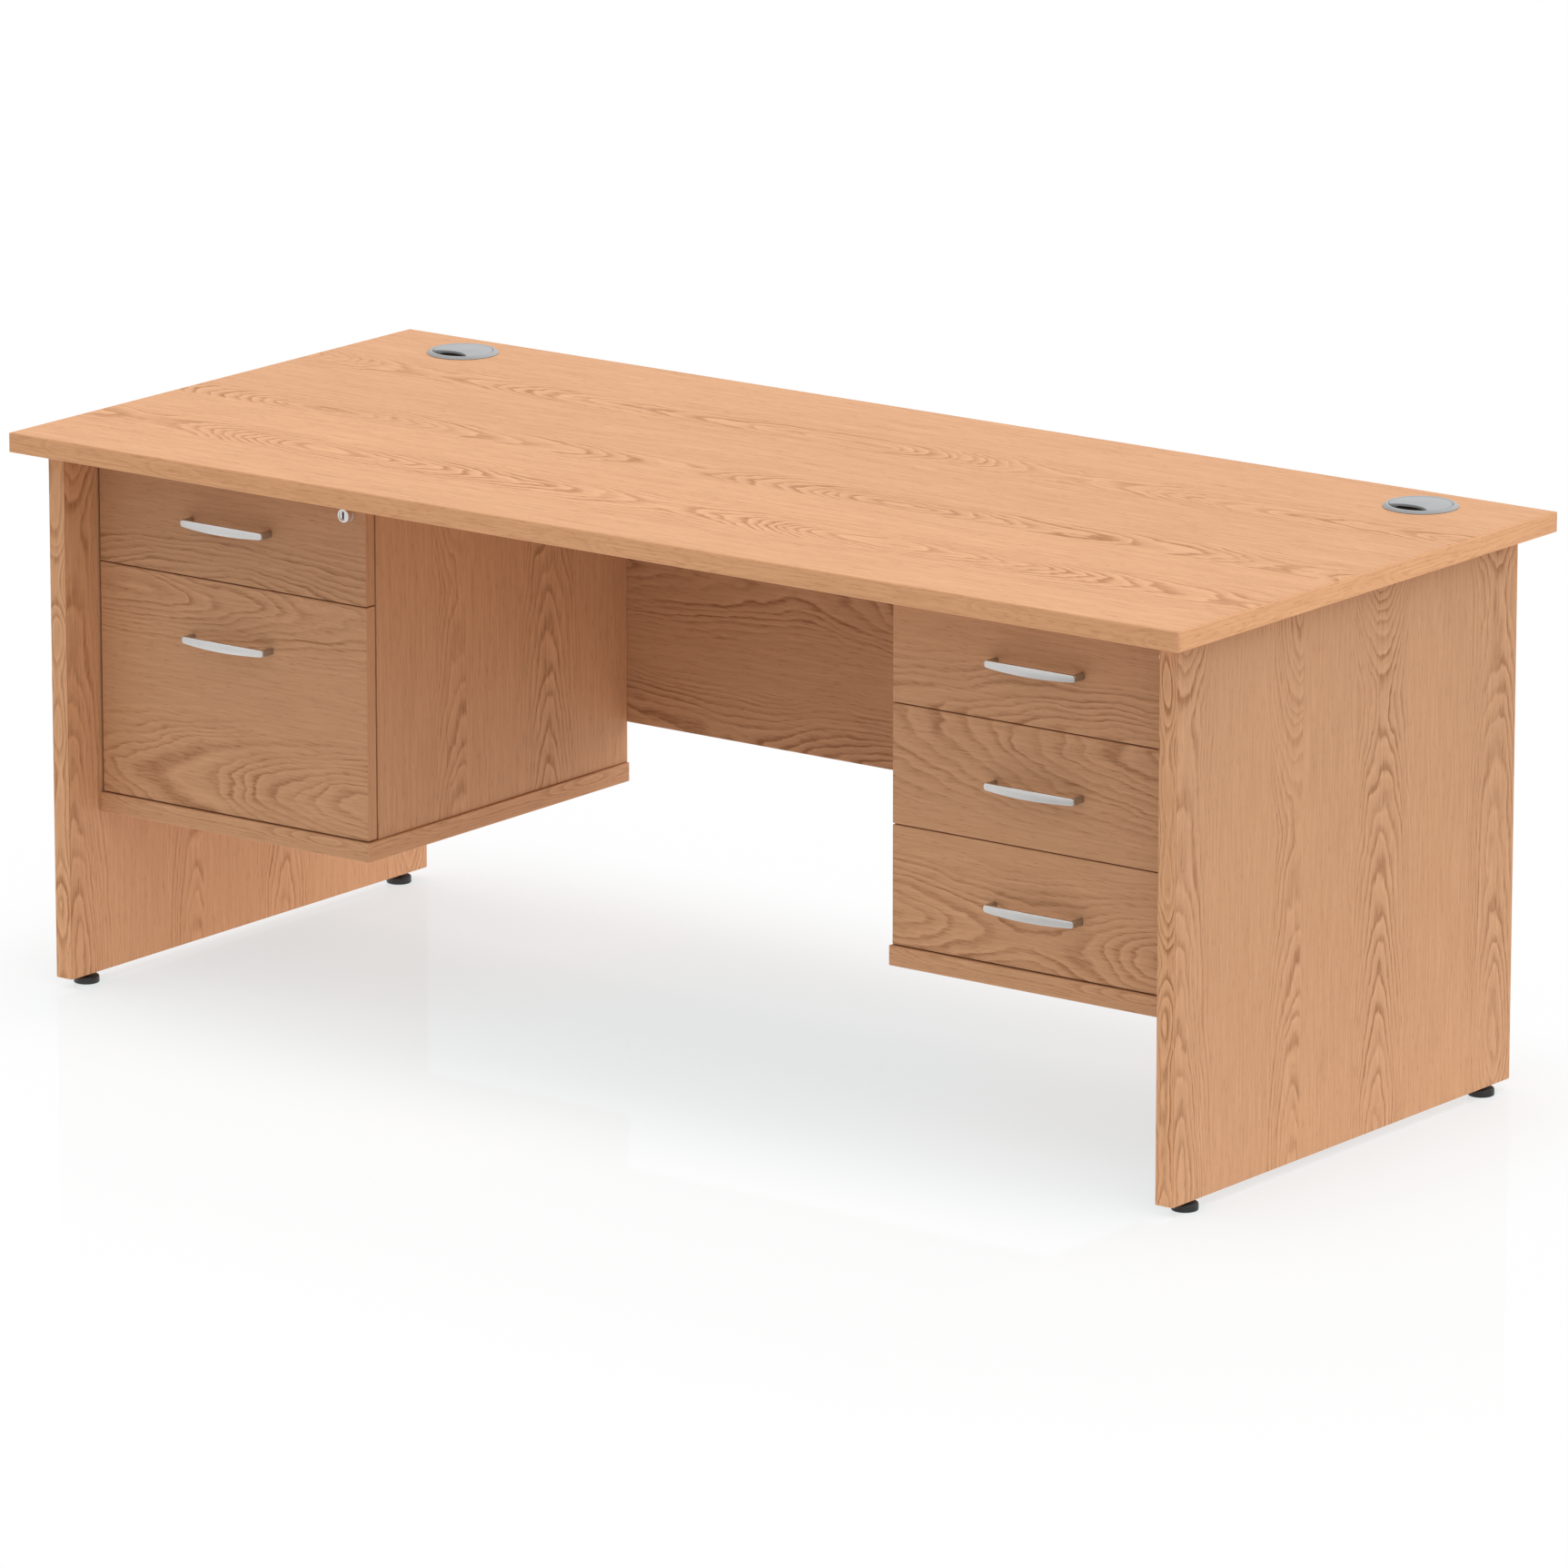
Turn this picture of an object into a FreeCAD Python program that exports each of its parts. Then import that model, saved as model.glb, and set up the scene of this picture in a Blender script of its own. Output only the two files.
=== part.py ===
import FreeCAD, Part
import os
import re
import Sketcher

# Office desk with two fixed drawer pedestals, in millimetres.
# The origin is on the floor under the middle of the top: X runs along the desk, Y to its back, Z up.

# Driving sizes: every other size in this file is worked out from these
SIZES = {
    "desk_width": 1800,
    "desk_depth": 800,
    "desk_height": 726,
    "board": 25,
    "panel": 18,
    "edging": 2,
    "arris": 0.8,
    "side_overhang": 30,
    "end_panel_depth": 720,
    "floor_gap": 13.5,
    "modesty_height": 400,
    "modesty_setback": 150,
    "pedestal_width": 440,
    "pedestal_depth": 530,
    "pedestal_height": 478,
    "reveal": 3,
    "front_gap": 1.5,
    "rail_depth": 80,
    "tray_length": 460,
    "tray_height": 85,
    "file_tray_height": 240,
    "tray_lift": 12,
    "tray_wall": 1,
    "tray_hem": 8,
    "file_spacing": 330,
    "file_rail_height": 15,
    "file_rail_thickness": 2,
    "runner_space": 13,
    "runner_height": 45,
    "runner_length": 450,
    "runner_rise": 45,
    "file_runner_rise": 120,
    "runner_steel": 1.2,
    "runner_play": 0.3,
    "cage_thickness": 1.4,
    "cage_length": 150,
    "cage_inset": 12,
    "handle_span": 128,
    "handle_drop": 76.5,
    "handle_post": 4.5,
    "handle_reach": 21,
    "handle_bow": 6,
    "handle_bar": 4,
    "handle_end": 7,
    "handle_middle": 12.2,
    "handle_corner": 2.8,
    "lock_radius": 8.9,
    "lock_head": 11,
    "lock_body": 7.5,
    "lock_tail": 10,
    "lock_inset": 27,
    "lock_drop": 34,
    "plug_radius": 6,
    "key_height": 9,
    "key_width": 1.6,
    "cam_length": 30,
    "cam_width": 12,
    "cam_steel": 2,
    "cam_cover": 2.7,
    "port_radius": 40,
    "port_side": 150,
    "port_back": 75,
    "flange_radius": 46.8,
    "flange_height": 3.5,
    "liner_wall": 2.3,
    "liner_depth": 22,
    "cap_thickness": 3,
    "bite_radius": 40,
    "bite_forward": 52.8,
    "bite_aside": 3.2,
    "foot_radius": 16.5,
    "foot_height": 10,
    "foot_inset": 44,
    "stud_radius": 4,
    "stud_length": 20,
    "insert_radius": 6,
    "insert_length": 24,
    "running_fit": 0.1,
    "seat_gap": 0.3,
}

# Heights and positions that several pieces share
UNDERSIDE = "(desk_height - board)"
END_X = "(desk_width / 2 - side_overhang)"
INNER_X = f"({END_X} - board)"
MODESTY_Y = "(desk_depth / 2 - modesty_setback - panel)"
BASE_Z = f"({UNDERSIDE} - pedestal_height)"
CARCASE_Z = f"({BASE_Z} + board)"
BASE_Y = f"({MODESTY_Y} - pedestal_depth)"
FRONT_Y = f"({BASE_Y} + reveal)"
TRAY_Y = f"({FRONT_Y} + panel)"
CARCASE_Y = f"({TRAY_Y} + reveal)"
BACK_Y = f"({MODESTY_Y} - panel)"
FRONT_WIDTH = "(pedestal_width - 2 * reveal)"
FRONT_HEIGHT = "((pedestal_height - board - 4 * front_gap) / 3)"
CARCASE_HEIGHT = "(pedestal_height - board)"
CARCASE_HALF = "(pedestal_width / 2 - reveal - panel)"
TRAY_HALF = f"({CARCASE_HALF} - runner_space)"
PORT_X = "(desk_width / 2 - port_side)"
PORT_Y = "(desk_depth / 2 - port_back)"
FOOT_X = f"({END_X} - board / 2)"
FOOT_Y = "(end_panel_depth / 2 - foot_inset)"
LOCK_X = f"({FRONT_WIDTH} / 2 - lock_inset)"

SIDES = {"left": "-1", "right": "1"}

document = FreeCAD.newDocument("desk")
sheet = document.addObject("Spreadsheet::Sheet", "Sizes")
for row, (alias, size) in enumerate(SIZES.items(), 1):
    sheet.set(f"A{row}", alias)
    sheet.set(f"B{row}", str(size))
    sheet.setAlias(f"B{row}", alias)
document.recompute()

nodes = []


def full(expression):
    """Write the size names in an expression as cells of the sheet."""
    return re.sub(r"[a-z][a-z_]+", lambda word: cell(word.group()), str(expression))


def cell(word):
    return f"Sizes.{word}" if word in SIZES else word


def number(expression):
    """The expression's value now."""
    return float(sheet.evalExpression(full(expression)))


def bind(item, name, expression):
    item.setExpression(name, full(expression))


def place(item, x="0", y="0", z="0"):
    """Tie an object's position to expressions."""
    bind(item, "Placement.Base.x", x)
    bind(item, "Placement.Base.y", y)
    bind(item, "Placement.Base.z", z)


def keep(item, label):
    """Name a finished piece, which is written to a file of its own."""
    item.Label = label
    nodes.append(item)
    return item


def gather(label, pieces):
    """One node of separate solids."""
    group = document.addObject("Part::Compound", "Group")
    group.Links = pieces
    return keep(group, label)


def new_body():
    return document.addObject("PartDesign::Body", "Body")


def sketch_on(body, plane, offset="0"):
    """A sketch on one of the body's own planes, moved along that plane's normal."""
    sketch = body.newObject("Sketcher::SketchObject", "Sketch")
    support = [face for face in body.Origin.OriginFeatures if face.Role == plane]
    sketch.AttachmentSupport = [(support[0], "")]
    sketch.MapMode = "FlatFace"
    bind(sketch, "AttachmentOffset.Base.z", offset)
    return sketch


def hold(sketch, kind, geometry, point, expression):
    """Tie one coordinate of a sketch point to an expression."""
    rule = Sketcher.Constraint(kind, -1, 1, geometry, point, number(expression))
    index = sketch.addConstraint(rule)
    bind(sketch, f"Constraints[{index}]", expression)


def outline(sketch, corners, arcs=None):
    """A closed outline through corners given as expressions.

    arcs maps the number of an edge to its rise, which bends that edge to its right hand.
    """
    arcs = arcs or {}
    first = sketch.GeometryCount
    count = len(corners)
    points = [FreeCAD.Vector(number(x), number(y), 0) for x, y in corners]
    for index in range(count):
        start = points[index]
        end = points[(index + 1) % count]
        if index in arcs:
            along = (end - start).normalize()
            right = FreeCAD.Vector(along.y, -along.x, 0)
            top = (start + end) * 0.5 + right * number(arcs[index])
            sketch.addGeometry(Part.Arc(start, top, end))
        else:
            sketch.addGeometry(Part.LineSegment(start, end))
    ends = [edge_points(sketch, first + index, points[index]) for index in range(count)]
    for index in range(count):
        after = (index + 1) % count
        here = (first + index, ends[index][1])
        there = (first + after, ends[after][0])
        sketch.addConstraint(Sketcher.Constraint("Coincident", *here, *there))
    for index, (x, y) in enumerate(corners):
        hold(sketch, "DistanceX", first + index, ends[index][0], x)
        hold(sketch, "DistanceY", first + index, ends[index][0], y)
    for index, rise in arcs.items():
        radius = arc_radius(corners[index], corners[(index + 1) % count], rise)
        rule = sketch.addConstraint(Sketcher.Constraint("Radius", first + index, number(radius)))
        bind(sketch, f"Constraints[{rule}]", radius)


def arc_radius(start, end, rise):
    """The radius, as an expression, of an arc that rises over the line between two corners."""
    across = f"(({end[0]}) - ({start[0]}))"
    along = f"(({end[1]}) - ({start[1]}))"
    quarter = f"(({across} * {across} + {along} * {along}) / 4)"
    return f"({quarter} + ({rise}) * ({rise})) / (2 * abs({rise}))"


def edge_points(sketch, index, start):
    """Which end of an edge is its start: an arc always runs anticlockwise."""
    if sketch.getPoint(index, 1).isEqual(start, 1e-6):
        return 1, 2
    return 2, 1


def rectangle(sketch, x, y, width, height):
    outline(sketch, [
        (x, y),
        (f"{x} + {width}", y),
        (f"{x} + {width}", f"{y} + {height}"),
        (x, f"{y} + {height}"),
    ])


def circle(sketch, x, y, radius):
    centre = FreeCAD.Vector(number(x), number(y), 0)
    index = sketch.addGeometry(Part.Circle(centre, FreeCAD.Vector(0, 0, 1), number(radius)))
    hold(sketch, "DistanceX", index, 3, x)
    hold(sketch, "DistanceY", index, 3, y)
    rule = sketch.addConstraint(Sketcher.Constraint("Radius", index, number(radius)))
    bind(sketch, f"Constraints[{rule}]", radius)


def pad(body, sketch, length, backwards=False, both_ways=False):
    feature = body.newObject("PartDesign::Pad", "Pad")
    feature.Profile = sketch
    feature.Reversed = backwards
    feature.Midplane = both_ways
    bind(feature, "Length", length)
    return feature


def pocket(body, sketch, length, backwards=False, both_ways=False):
    feature = body.newObject("PartDesign::Pocket", "Pocket")
    feature.Profile = sketch
    feature.Reversed = backwards
    feature.Midplane = both_ways
    bind(feature, "Length", length)
    return feature


def turn(body, sketch):
    """Turn a profile round the upright axis of its sketch."""
    feature = body.newObject("PartDesign::Revolution", "Revolution")
    feature.Profile = sketch
    feature.ReferenceAxis = (sketch, ["V_Axis"])
    feature.Angle = 360
    return feature


def picked_edges(body, wanted):
    """The body's shape so far, with the names of the edges that a test picks."""
    document.recompute()
    base = body.Tip
    names = [f"Edge{n}" for n, edge in enumerate(base.Shape.Edges, 1) if wanted(edge)]
    return base, names


def round_edges(body, radius, wanted):
    picked = picked_edges(body, wanted)
    feature = body.newObject("PartDesign::Fillet", "Fillet")
    feature.Base = picked
    bind(feature, "Radius", radius)


def ease_edges(body, size):
    """Take a small flat off all edges."""
    picked = picked_edges(body, bool)
    feature = body.newObject("PartDesign::Chamfer", "Chamfer")
    feature.Base = picked
    feature.UseAllEdges = True
    bind(feature, "Size", size)


def block(x, y, z, width, depth, height):
    """A plain box with its low corner at x, y, z."""
    box = document.addObject("Part::Box", "Block")
    bind(box, "Length", width)
    bind(box, "Width", depth)
    bind(box, "Height", height)
    place(box, x, y, z)
    return box


def board_body(x, y, z, width, depth, height):
    """A sawn board with its low corner at x, y, z, still without rounded edges."""
    body = new_body()
    sketch = sketch_on(body, "XY_Plane")
    rectangle(sketch, "0", "0", width, depth)
    pad(body, sketch, height)
    place(body, x, y, z)
    return body


def soft_board(x, y, z, width, depth, height):
    """A board whose edges are all eased."""
    body = board_body(x, y, z, width, depth, height)
    ease_edges(body, "arris")
    return body


def desktop():
    """The top's core with its two round cable holes."""
    width = "(desk_width - 2 * edging)"
    depth = "(desk_depth - 2 * edging)"
    body = board_body(f"-{width} / 2", f"-{depth} / 2", UNDERSIDE, width, depth, "board")
    sketch = sketch_on(body, "XY_Plane")
    for sign in SIDES.values():
        circle(sketch, f"{width} / 2 + {sign} * {PORT_X}", f"{depth} / 2 + {PORT_Y}", "port_radius")
    pocket(body, sketch, "board", backwards=True)
    keep(body, "desktop_board")


def desktop_edging():
    """Four strips round the top: the long ones run past the ends of the short ones."""
    depth = "(desk_depth - 2 * edging)"
    strips = []
    for y in ("-desk_depth / 2", "desk_depth / 2 - edging"):
        strips.append(soft_board("-desk_width / 2", y, UNDERSIDE, "desk_width", "edging", "board"))
    for x in ("-desk_width / 2", "desk_width / 2 - edging"):
        strips.append(soft_board(x, f"-{depth} / 2", UNDERSIDE, "edging", depth, "board"))
    gather("desktop_edging", strips)


def end_panels():
    """Upright ends with bored seats for the foot inserts, and edging on their front and back edges."""
    depth = "(end_panel_depth - 2 * edging)"
    height = f"({UNDERSIDE} - floor_gap)"
    strips = []
    for side, sign in SIDES.items():
        x = f"{sign} * {FOOT_X} - board / 2"
        body = board_body(x, f"-{depth} / 2", "floor_gap", "board", depth, height)
        sketch = sketch_on(body, "XY_Plane")
        for way in ("-1", "1"):
            circle(sketch, "board / 2", f"{depth} / 2 + {way} * {FOOT_Y}", "insert_radius + running_fit")
        pocket(body, sketch, "insert_length", backwards=True)
        keep(body, f"{side}_end_panel")
        for y in ("-end_panel_depth / 2", "end_panel_depth / 2 - edging"):
            strips.append(soft_board(x, y, "floor_gap", "board", "edging", height))
    gather("end_panel_edging", strips)


def modesty_panel():
    body = soft_board(f"-{INNER_X}", MODESTY_Y, f"{UNDERSIDE} - modesty_height",
                      f"2 * {INNER_X}", "panel", "modesty_height")
    keep(body, "modesty_panel")


def cable_port(side, sign):
    """A liner with a sloping flange in the top, and the cap that turns in it and leaves a slot for cables."""
    sleeve = "(port_radius - seat_gap)"
    bore = f"({sleeve} - liner_wall)"
    ledge = "(flange_height - cap_thickness)"
    liner = new_body()
    outline(sketch_on(liner, "XZ_Plane"), [
        (bore, "-liner_depth"),
        (sleeve, "-liner_depth"),
        (sleeve, "0"),
        ("flange_radius", "0"),
        ("flange_radius - flange_height", "flange_height"),
        (sleeve, "flange_height"),
        (sleeve, ledge),
        (bore, ledge),
    ])
    turn(liner, liner.Group[-1])
    place(liner, f"{sign} * {PORT_X}", PORT_Y, "desk_height")
    keep(liner, f"{side}_cable_port_liner")

    cap = new_body()
    rim = f"({sleeve} - 2 * seat_gap)"
    skirt = f"({bore} - seat_gap)"
    outline(sketch_on(cap, "XZ_Plane"), [
        ("0", ledge),
        (f"{skirt} - liner_wall / 2", ledge),
        (f"{skirt} - liner_wall / 2", f"{ledge} - 2 * cap_thickness"),
        (skirt, f"{ledge} - 2 * cap_thickness"),
        (skirt, ledge),
        (rim, ledge),
        (rim, "flange_height"),
        ("0", "flange_height"),
    ])
    turn(cap, cap.Group[-1])
    bite = sketch_on(cap, "XY_Plane", "flange_height")
    circle(bite, "-bite_aside", "-bite_forward", "bite_radius")
    pocket(cap, bite, "4 * cap_thickness")
    place(cap, f"{sign} * {PORT_X}", PORT_Y, "desk_height")
    keep(cap, f"{side}_cable_port_cap")


def foot(label, x, y):
    """A round pad turned in one with its threaded stud."""
    body = new_body()
    outline(sketch_on(body, "XZ_Plane"), [
        ("0", "0"),
        ("foot_radius", "0"),
        ("foot_radius", "foot_height"),
        ("stud_radius", "foot_height"),
        ("stud_radius", "floor_gap + stud_length"),
        ("0", "floor_gap + stud_length"),
    ])
    turn(body, body.Group[-1])
    place(body, x, y, "0")
    keep(body, label)


def feet():
    """Four levelling feet and the threaded inserts that they screw into."""
    inserts = []
    for side, sign in SIDES.items():
        for end, way in (("front", "-1"), ("back", "1")):
            x = f"{sign} * {FOOT_X}"
            y = f"{way} * {FOOT_Y}"
            foot(f"{end}_{side}_foot", x, y)
            insert = new_body()
            sketch = sketch_on(insert, "XY_Plane")
            circle(sketch, "0", "0", "insert_radius")
            circle(sketch, "0", "0", "stud_radius + running_fit")
            pad(insert, sketch, "insert_length")
            place(insert, x, y, "floor_gap")
            inserts.append(insert)
    gather("foot_inserts", inserts)


def pedestal(side, sign):
    """A case of boards under the top: base, two sides, back and two top rails."""
    middle = f"{sign} * ({INNER_X} - pedestal_width / 2)"
    inside = f"(2 * {CARCASE_HALF})"
    length = f"({MODESTY_Y} - {CARCASE_Y})"
    base = soft_board(f"{middle} - pedestal_width / 2", BASE_Y, BASE_Z,
                      "pedestal_width", "pedestal_depth", "board")
    keep(base, f"{side}_pedestal_base")
    for name, way in (("outer", sign), ("inner", f"-({sign})")):
        x = f"{middle} + {way} * ({CARCASE_HALF} + panel / 2) - panel / 2"
        board = soft_board(x, CARCASE_Y, CARCASE_Z, "panel", length, CARCASE_HEIGHT)
        keep(board, f"{side}_pedestal_{name}_side")
    low_x = f"{middle} - {CARCASE_HALF}"
    back = soft_board(low_x, BACK_Y, CARCASE_Z, inside, "panel", CARCASE_HEIGHT)
    keep(back, f"{side}_pedestal_back")
    rail_z = f"{UNDERSIDE} - panel"
    front_rail = board_body(low_x, CARCASE_Y, rail_z, inside, "rail_depth", "panel")
    slot = sketch_on(front_rail, "XY_Plane")
    swing = f"({CARCASE_HALF} + {LOCK_X})"
    gap = "(lock_tail - reveal + seat_gap)"
    slot_width = "cam_length + cam_width * 0.6"
    rectangle(slot, f"{swing} - cam_length", f"{gap} - cam_steel", slot_width, "3 * cam_steel")
    pocket(front_rail, slot, "panel - cam_cover", backwards=True)
    back_rail = soft_board(low_x, f"{BACK_Y} - rail_depth", rail_z, inside, "rail_depth", "panel")
    gather(f"{side}_pedestal_rails", [front_rail, back_rail])


def channel(x, z, way, near, far, half_height):
    """A runner member: a folded steel channel, open towards the drawer.

    near is the distance of its web from the case side, far that of its free edges or of its web,
    whichever is nearer to the drawer; way points from the case side to the drawer.
    """
    body = new_body()
    sketch = sketch_on(body, "XZ_Plane")
    web = f"({near} + runner_steel)"
    lip = f"({half_height} - runner_steel)"
    outline(sketch, [
        (f"{way} * {near}", f"-{half_height}"),
        (f"{way} * {far}", f"-{half_height}"),
        (f"{way} * {far}", f"-{lip}"),
        (f"{way} * {web}", f"-{lip}"),
        (f"{way} * {web}", lip),
        (f"{way} * {far}", lip),
        (f"{way} * {far}", half_height),
        (f"{way} * {near}", half_height),
    ])
    pad(body, sketch, "runner_length", backwards=True)
    place(body, x, CARCASE_Y, z)
    return body


def runner(x, z, way):
    """The fixed, middle and drawer members of one runner, with the ball cages on the middle one."""
    outer_half = "(runner_height / 2)"
    step = "(runner_steel + cage_thickness + 2 * runner_play)"
    middle_half = f"({outer_half} - {step})"
    inner_half = f"({middle_half} - {step})"
    fixed = channel(x, z, way, "0", "runner_space * 0.75", outer_half)
    middle = channel(x, z, way, "runner_space * 0.15", "runner_space * 0.85", middle_half)
    drawer_side = f"{x} + {way} * runner_space"
    moving = channel(drawer_side, z, "-1" if way == "1" else "1", "0", "runner_space * 0.6", inner_half)
    cages = []
    cage_width = "(runner_space * 0.4)"
    rear = f"({CARCASE_Y} + runner_length - cage_length - cage_inset)"
    front = f"({CARCASE_Y} + cage_inset)"
    outer_race = f"{x} + {way} * runner_space * 0.5"
    inner_race = f"{x} + {way} * runner_space * 0.65"
    for half, y, race in ((middle_half, rear, outer_race), (inner_half, front, inner_race)):
        for way_up in ("-1", "1"):
            mid_z = f"{z} + {way_up} * ({half} + runner_play + cage_thickness / 2)"
            cages.append(block(f"{race} - {cage_width} / 2", y, f"{mid_z} - cage_thickness / 2",
                               cage_width, "cage_length", "cage_thickness"))
    return fixed, [middle] + cages, moving


def tray(x, z, height):
    """A folded steel drawer body with its top edges turned in."""
    body = new_body()
    width = f"(2 * {TRAY_HALF})"
    shell = sketch_on(body, "XY_Plane")
    rectangle(shell, "0", "0", width, "tray_length")
    pad(body, shell, height)
    mouth = sketch_on(body, "XY_Plane", height)
    rectangle(mouth, "tray_hem", "tray_hem", f"{width} - 2 * tray_hem", "tray_length - 2 * tray_hem")
    pocket(body, mouth, "tray_wall")
    hollow = sketch_on(body, "XY_Plane", f"{height} - tray_wall")
    rectangle(hollow, "tray_wall", "tray_wall", f"{width} - 2 * tray_wall", "tray_length - 2 * tray_wall")
    pocket(body, hollow, f"{height} - 2 * tray_wall")
    place(body, f"{x} - {TRAY_HALF}", TRAY_Y, z)
    return body


def handle(x, z):
    """A bowed bar on two posts, higher in the middle than at its ends."""
    body = new_body()
    half = "((handle_span + handle_post) / 2)"
    gap = "((handle_span - handle_post) / 2)"
    radius = f"(({half} * {half} + handle_bow * handle_bow) / (2 * handle_bow))"
    inner = f"({radius} - handle_bar)"
    centre = f"({radius} - handle_reach - handle_bow)"
    inner_end = f"({centre} - sqrt({inner} * {inner} - {gap} * {gap}))"
    inner_rise = f"({inner} - sqrt({inner} * {inner} - {gap} * {gap}))"
    plan = sketch_on(body, "XY_Plane")
    outline(plan, [
        (f"-{half}", "0"),
        (f"-{half}", "-handle_reach"),
        (half, "-handle_reach"),
        (half, "0"),
        (gap, "0"),
        (gap, inner_end),
        (f"-{gap}", inner_end),
        (f"-{gap}", "0"),
    ], {1: "handle_bow", 5: f"-{inner_rise}"})
    pad(body, plan, "handle_middle", both_ways=True)
    face = sketch_on(body, "XZ_Plane")
    wide = f"({half} + handle_post)"
    low = "(handle_end / 2)"
    flare = "((handle_middle - handle_end) / 2)"
    outline(face, [(f"-{wide}", low), (wide, low), (wide, "handle_middle"), (f"-{wide}", "handle_middle")],
            {0: f"-{flare}"})
    outline(face, [(wide, f"-{low}"), (f"-{wide}", f"-{low}"), (f"-{wide}", "-handle_middle"),
                   (wide, "-handle_middle")], {0: f"-{flare}"})
    pocket(body, face, "4 * (handle_reach + handle_bow)", both_ways=True)
    round_edges(body, "handle_corner", lambda edge: is_end_corner(edge, number(half)))
    place(body, x, FRONT_Y, z)
    return body


def is_end_corner(edge, half):
    """True for the four long corners at the outer ends of a handle's posts."""
    box = edge.BoundBox
    return box.YLength > box.XLength + box.ZLength and abs(abs(box.Center.x) - half) < box.YLength / 10


def lock(side, x, z):
    """A barrel through the drawer front, its key plug, and the cam behind it."""
    tail = "(panel + lock_tail)"
    barrel = new_body()
    bore = "(plug_radius + running_fit)"
    outline(sketch_on(barrel, "XY_Plane"), [
        (bore, "-lock_head"),
        ("lock_radius", "-lock_head"),
        ("lock_radius", "0"),
        ("lock_body", "0"),
        ("lock_body", tail),
        (bore, tail),
    ])
    turn(barrel, barrel.Group[-1])
    place(barrel, x, FRONT_Y, z)
    keep(barrel, f"{side}_lock_barrel")

    plug = new_body()
    face = "(-lock_head + arris)"
    outline(sketch_on(plug, "XY_Plane"), [
        ("0", face),
        ("plug_radius", face),
        ("plug_radius", f"{tail} + seat_gap"),
        ("0", f"{tail} + seat_gap"),
    ])
    turn(plug, plug.Group[-1])
    key = sketch_on(plug, "XZ_Plane", f"-({face})")
    rectangle(key, "-key_width / 2", "-key_height / 2", "key_width", "key_height")
    pocket(plug, key, "lock_head + panel / 2")
    place(plug, x, FRONT_Y, z)
    keep(plug, f"{side}_lock_plug")

    cam = new_body()
    plate = sketch_on(cam, "XZ_Plane", f"-({tail} + seat_gap)")
    half = "(cam_width / 2)"
    outline(plate, [
        (f"-cam_length + {half}", f"-{half}"),
        ("0", f"-{half}"),
        ("0", half),
        (f"-cam_length + {half}", half),
    ], {1: f"0.8 * {half}", 3: f"0.8 * {half}"})
    pad(cam, plate, "cam_steel", backwards=True)
    place(cam, x, FRONT_Y, z)
    keep(cam, f"{side}_lock_cam")


def drawer(name, side, sign, level, rows, filing):
    """One drawer: front, tray, handle and runners. level counts front heights up from the base."""
    x = f"{sign} * ({INNER_X} - pedestal_width / 2)"
    low = f"({CARCASE_Z} + front_gap + {level} * ({FRONT_HEIGHT} + front_gap))"
    height = f"({rows} * {FRONT_HEIGHT} + ({rows} - 1) * front_gap)"
    top = f"({low} + {height})"
    locked = level + rows == 3
    front = soft_board(f"{x} - {FRONT_WIDTH} / 2", FRONT_Y, low, FRONT_WIDTH, "panel", height)
    if locked:
        hole = sketch_on(front, "XZ_Plane")
        circle(hole, f"{FRONT_WIDTH} - lock_inset", f"{height} - lock_drop", "lock_body + running_fit")
        pocket(front, hole, "panel")
        lock(side, f"{x} + {LOCK_X}", f"{top} - lock_drop")
    keep(front, f"{name}_front")

    tray_z = f"({low} + tray_lift)"
    tray_height = "file_tray_height" if filing else "tray_height"
    keep(tray(x, tray_z, tray_height), f"{name}_tray")
    keep(handle(x, f"{top} - handle_drop"), f"{name}_handle")

    rise = "file_runner_rise" if filing else "runner_rise"
    fixed, middle, moving = [], [], []
    for way in ("1", "-1"):
        parts = runner(f"{x} - {way} * {CARCASE_HALF}", f"{tray_z} + {rise}", way)
        fixed.append(parts[0])
        middle.extend(parts[1])
        moving.append(parts[2])
    gather(f"{name}_runner_middles", middle)
    gather(f"{name}_runner_slides", moving)
    if filing:
        rail_y = f"{TRAY_Y} + tray_wall"
        rail_z = f"{tray_z} + {tray_height} - tray_wall - file_rail_height"
        rails = []
        for way in ("-1", "1"):
            rail_x = f"{x} + {way} * file_spacing / 2 - file_rail_thickness / 2"
            rails.append(block(rail_x, rail_y, rail_z, "file_rail_thickness",
                               "tray_length - 2 * tray_wall", "file_rail_height"))
        gather(f"{name}_file_rails", rails)
    return fixed


def write_nodes():
    """Check every object, then write one file for each piece."""
    document.recompute()
    for item in document.Objects:
        if "Invalid" in item.State or "Error" in item.State:
            raise RuntimeError(f"{item.Label} did not build: {item.getStatusString()}")
    os.makedirs("parts", exist_ok=True)
    for item in nodes:
        if item.Shape.isNull() or not item.Shape.isValid():
            raise RuntimeError(f"{item.Label} has no valid shape")
        item.Shape.exportStep(f"parts/{item.Label}.step")


desktop()
desktop_edging()
end_panels()
modesty_panel()
feet()
for side, sign in SIDES.items():
    cable_port(side, sign)
    pedestal(side, sign)
left_channels = drawer("left_top", "left", "-1", 2, 1, False)
left_channels += drawer("left_filing", "left", "-1", 0, 2, True)
gather("left_runner_channels", left_channels)
right_channels = drawer("right_top", "right", "1", 2, 1, False)
right_channels += drawer("right_middle", "right", "1", 1, 1, False)
right_channels += drawer("right_bottom", "right", "1", 0, 1, False)
gather("right_runner_channels", right_channels)
write_nodes()
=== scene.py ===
import math
import bmesh
import bpy
from mathutils import Matrix, Vector


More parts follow.
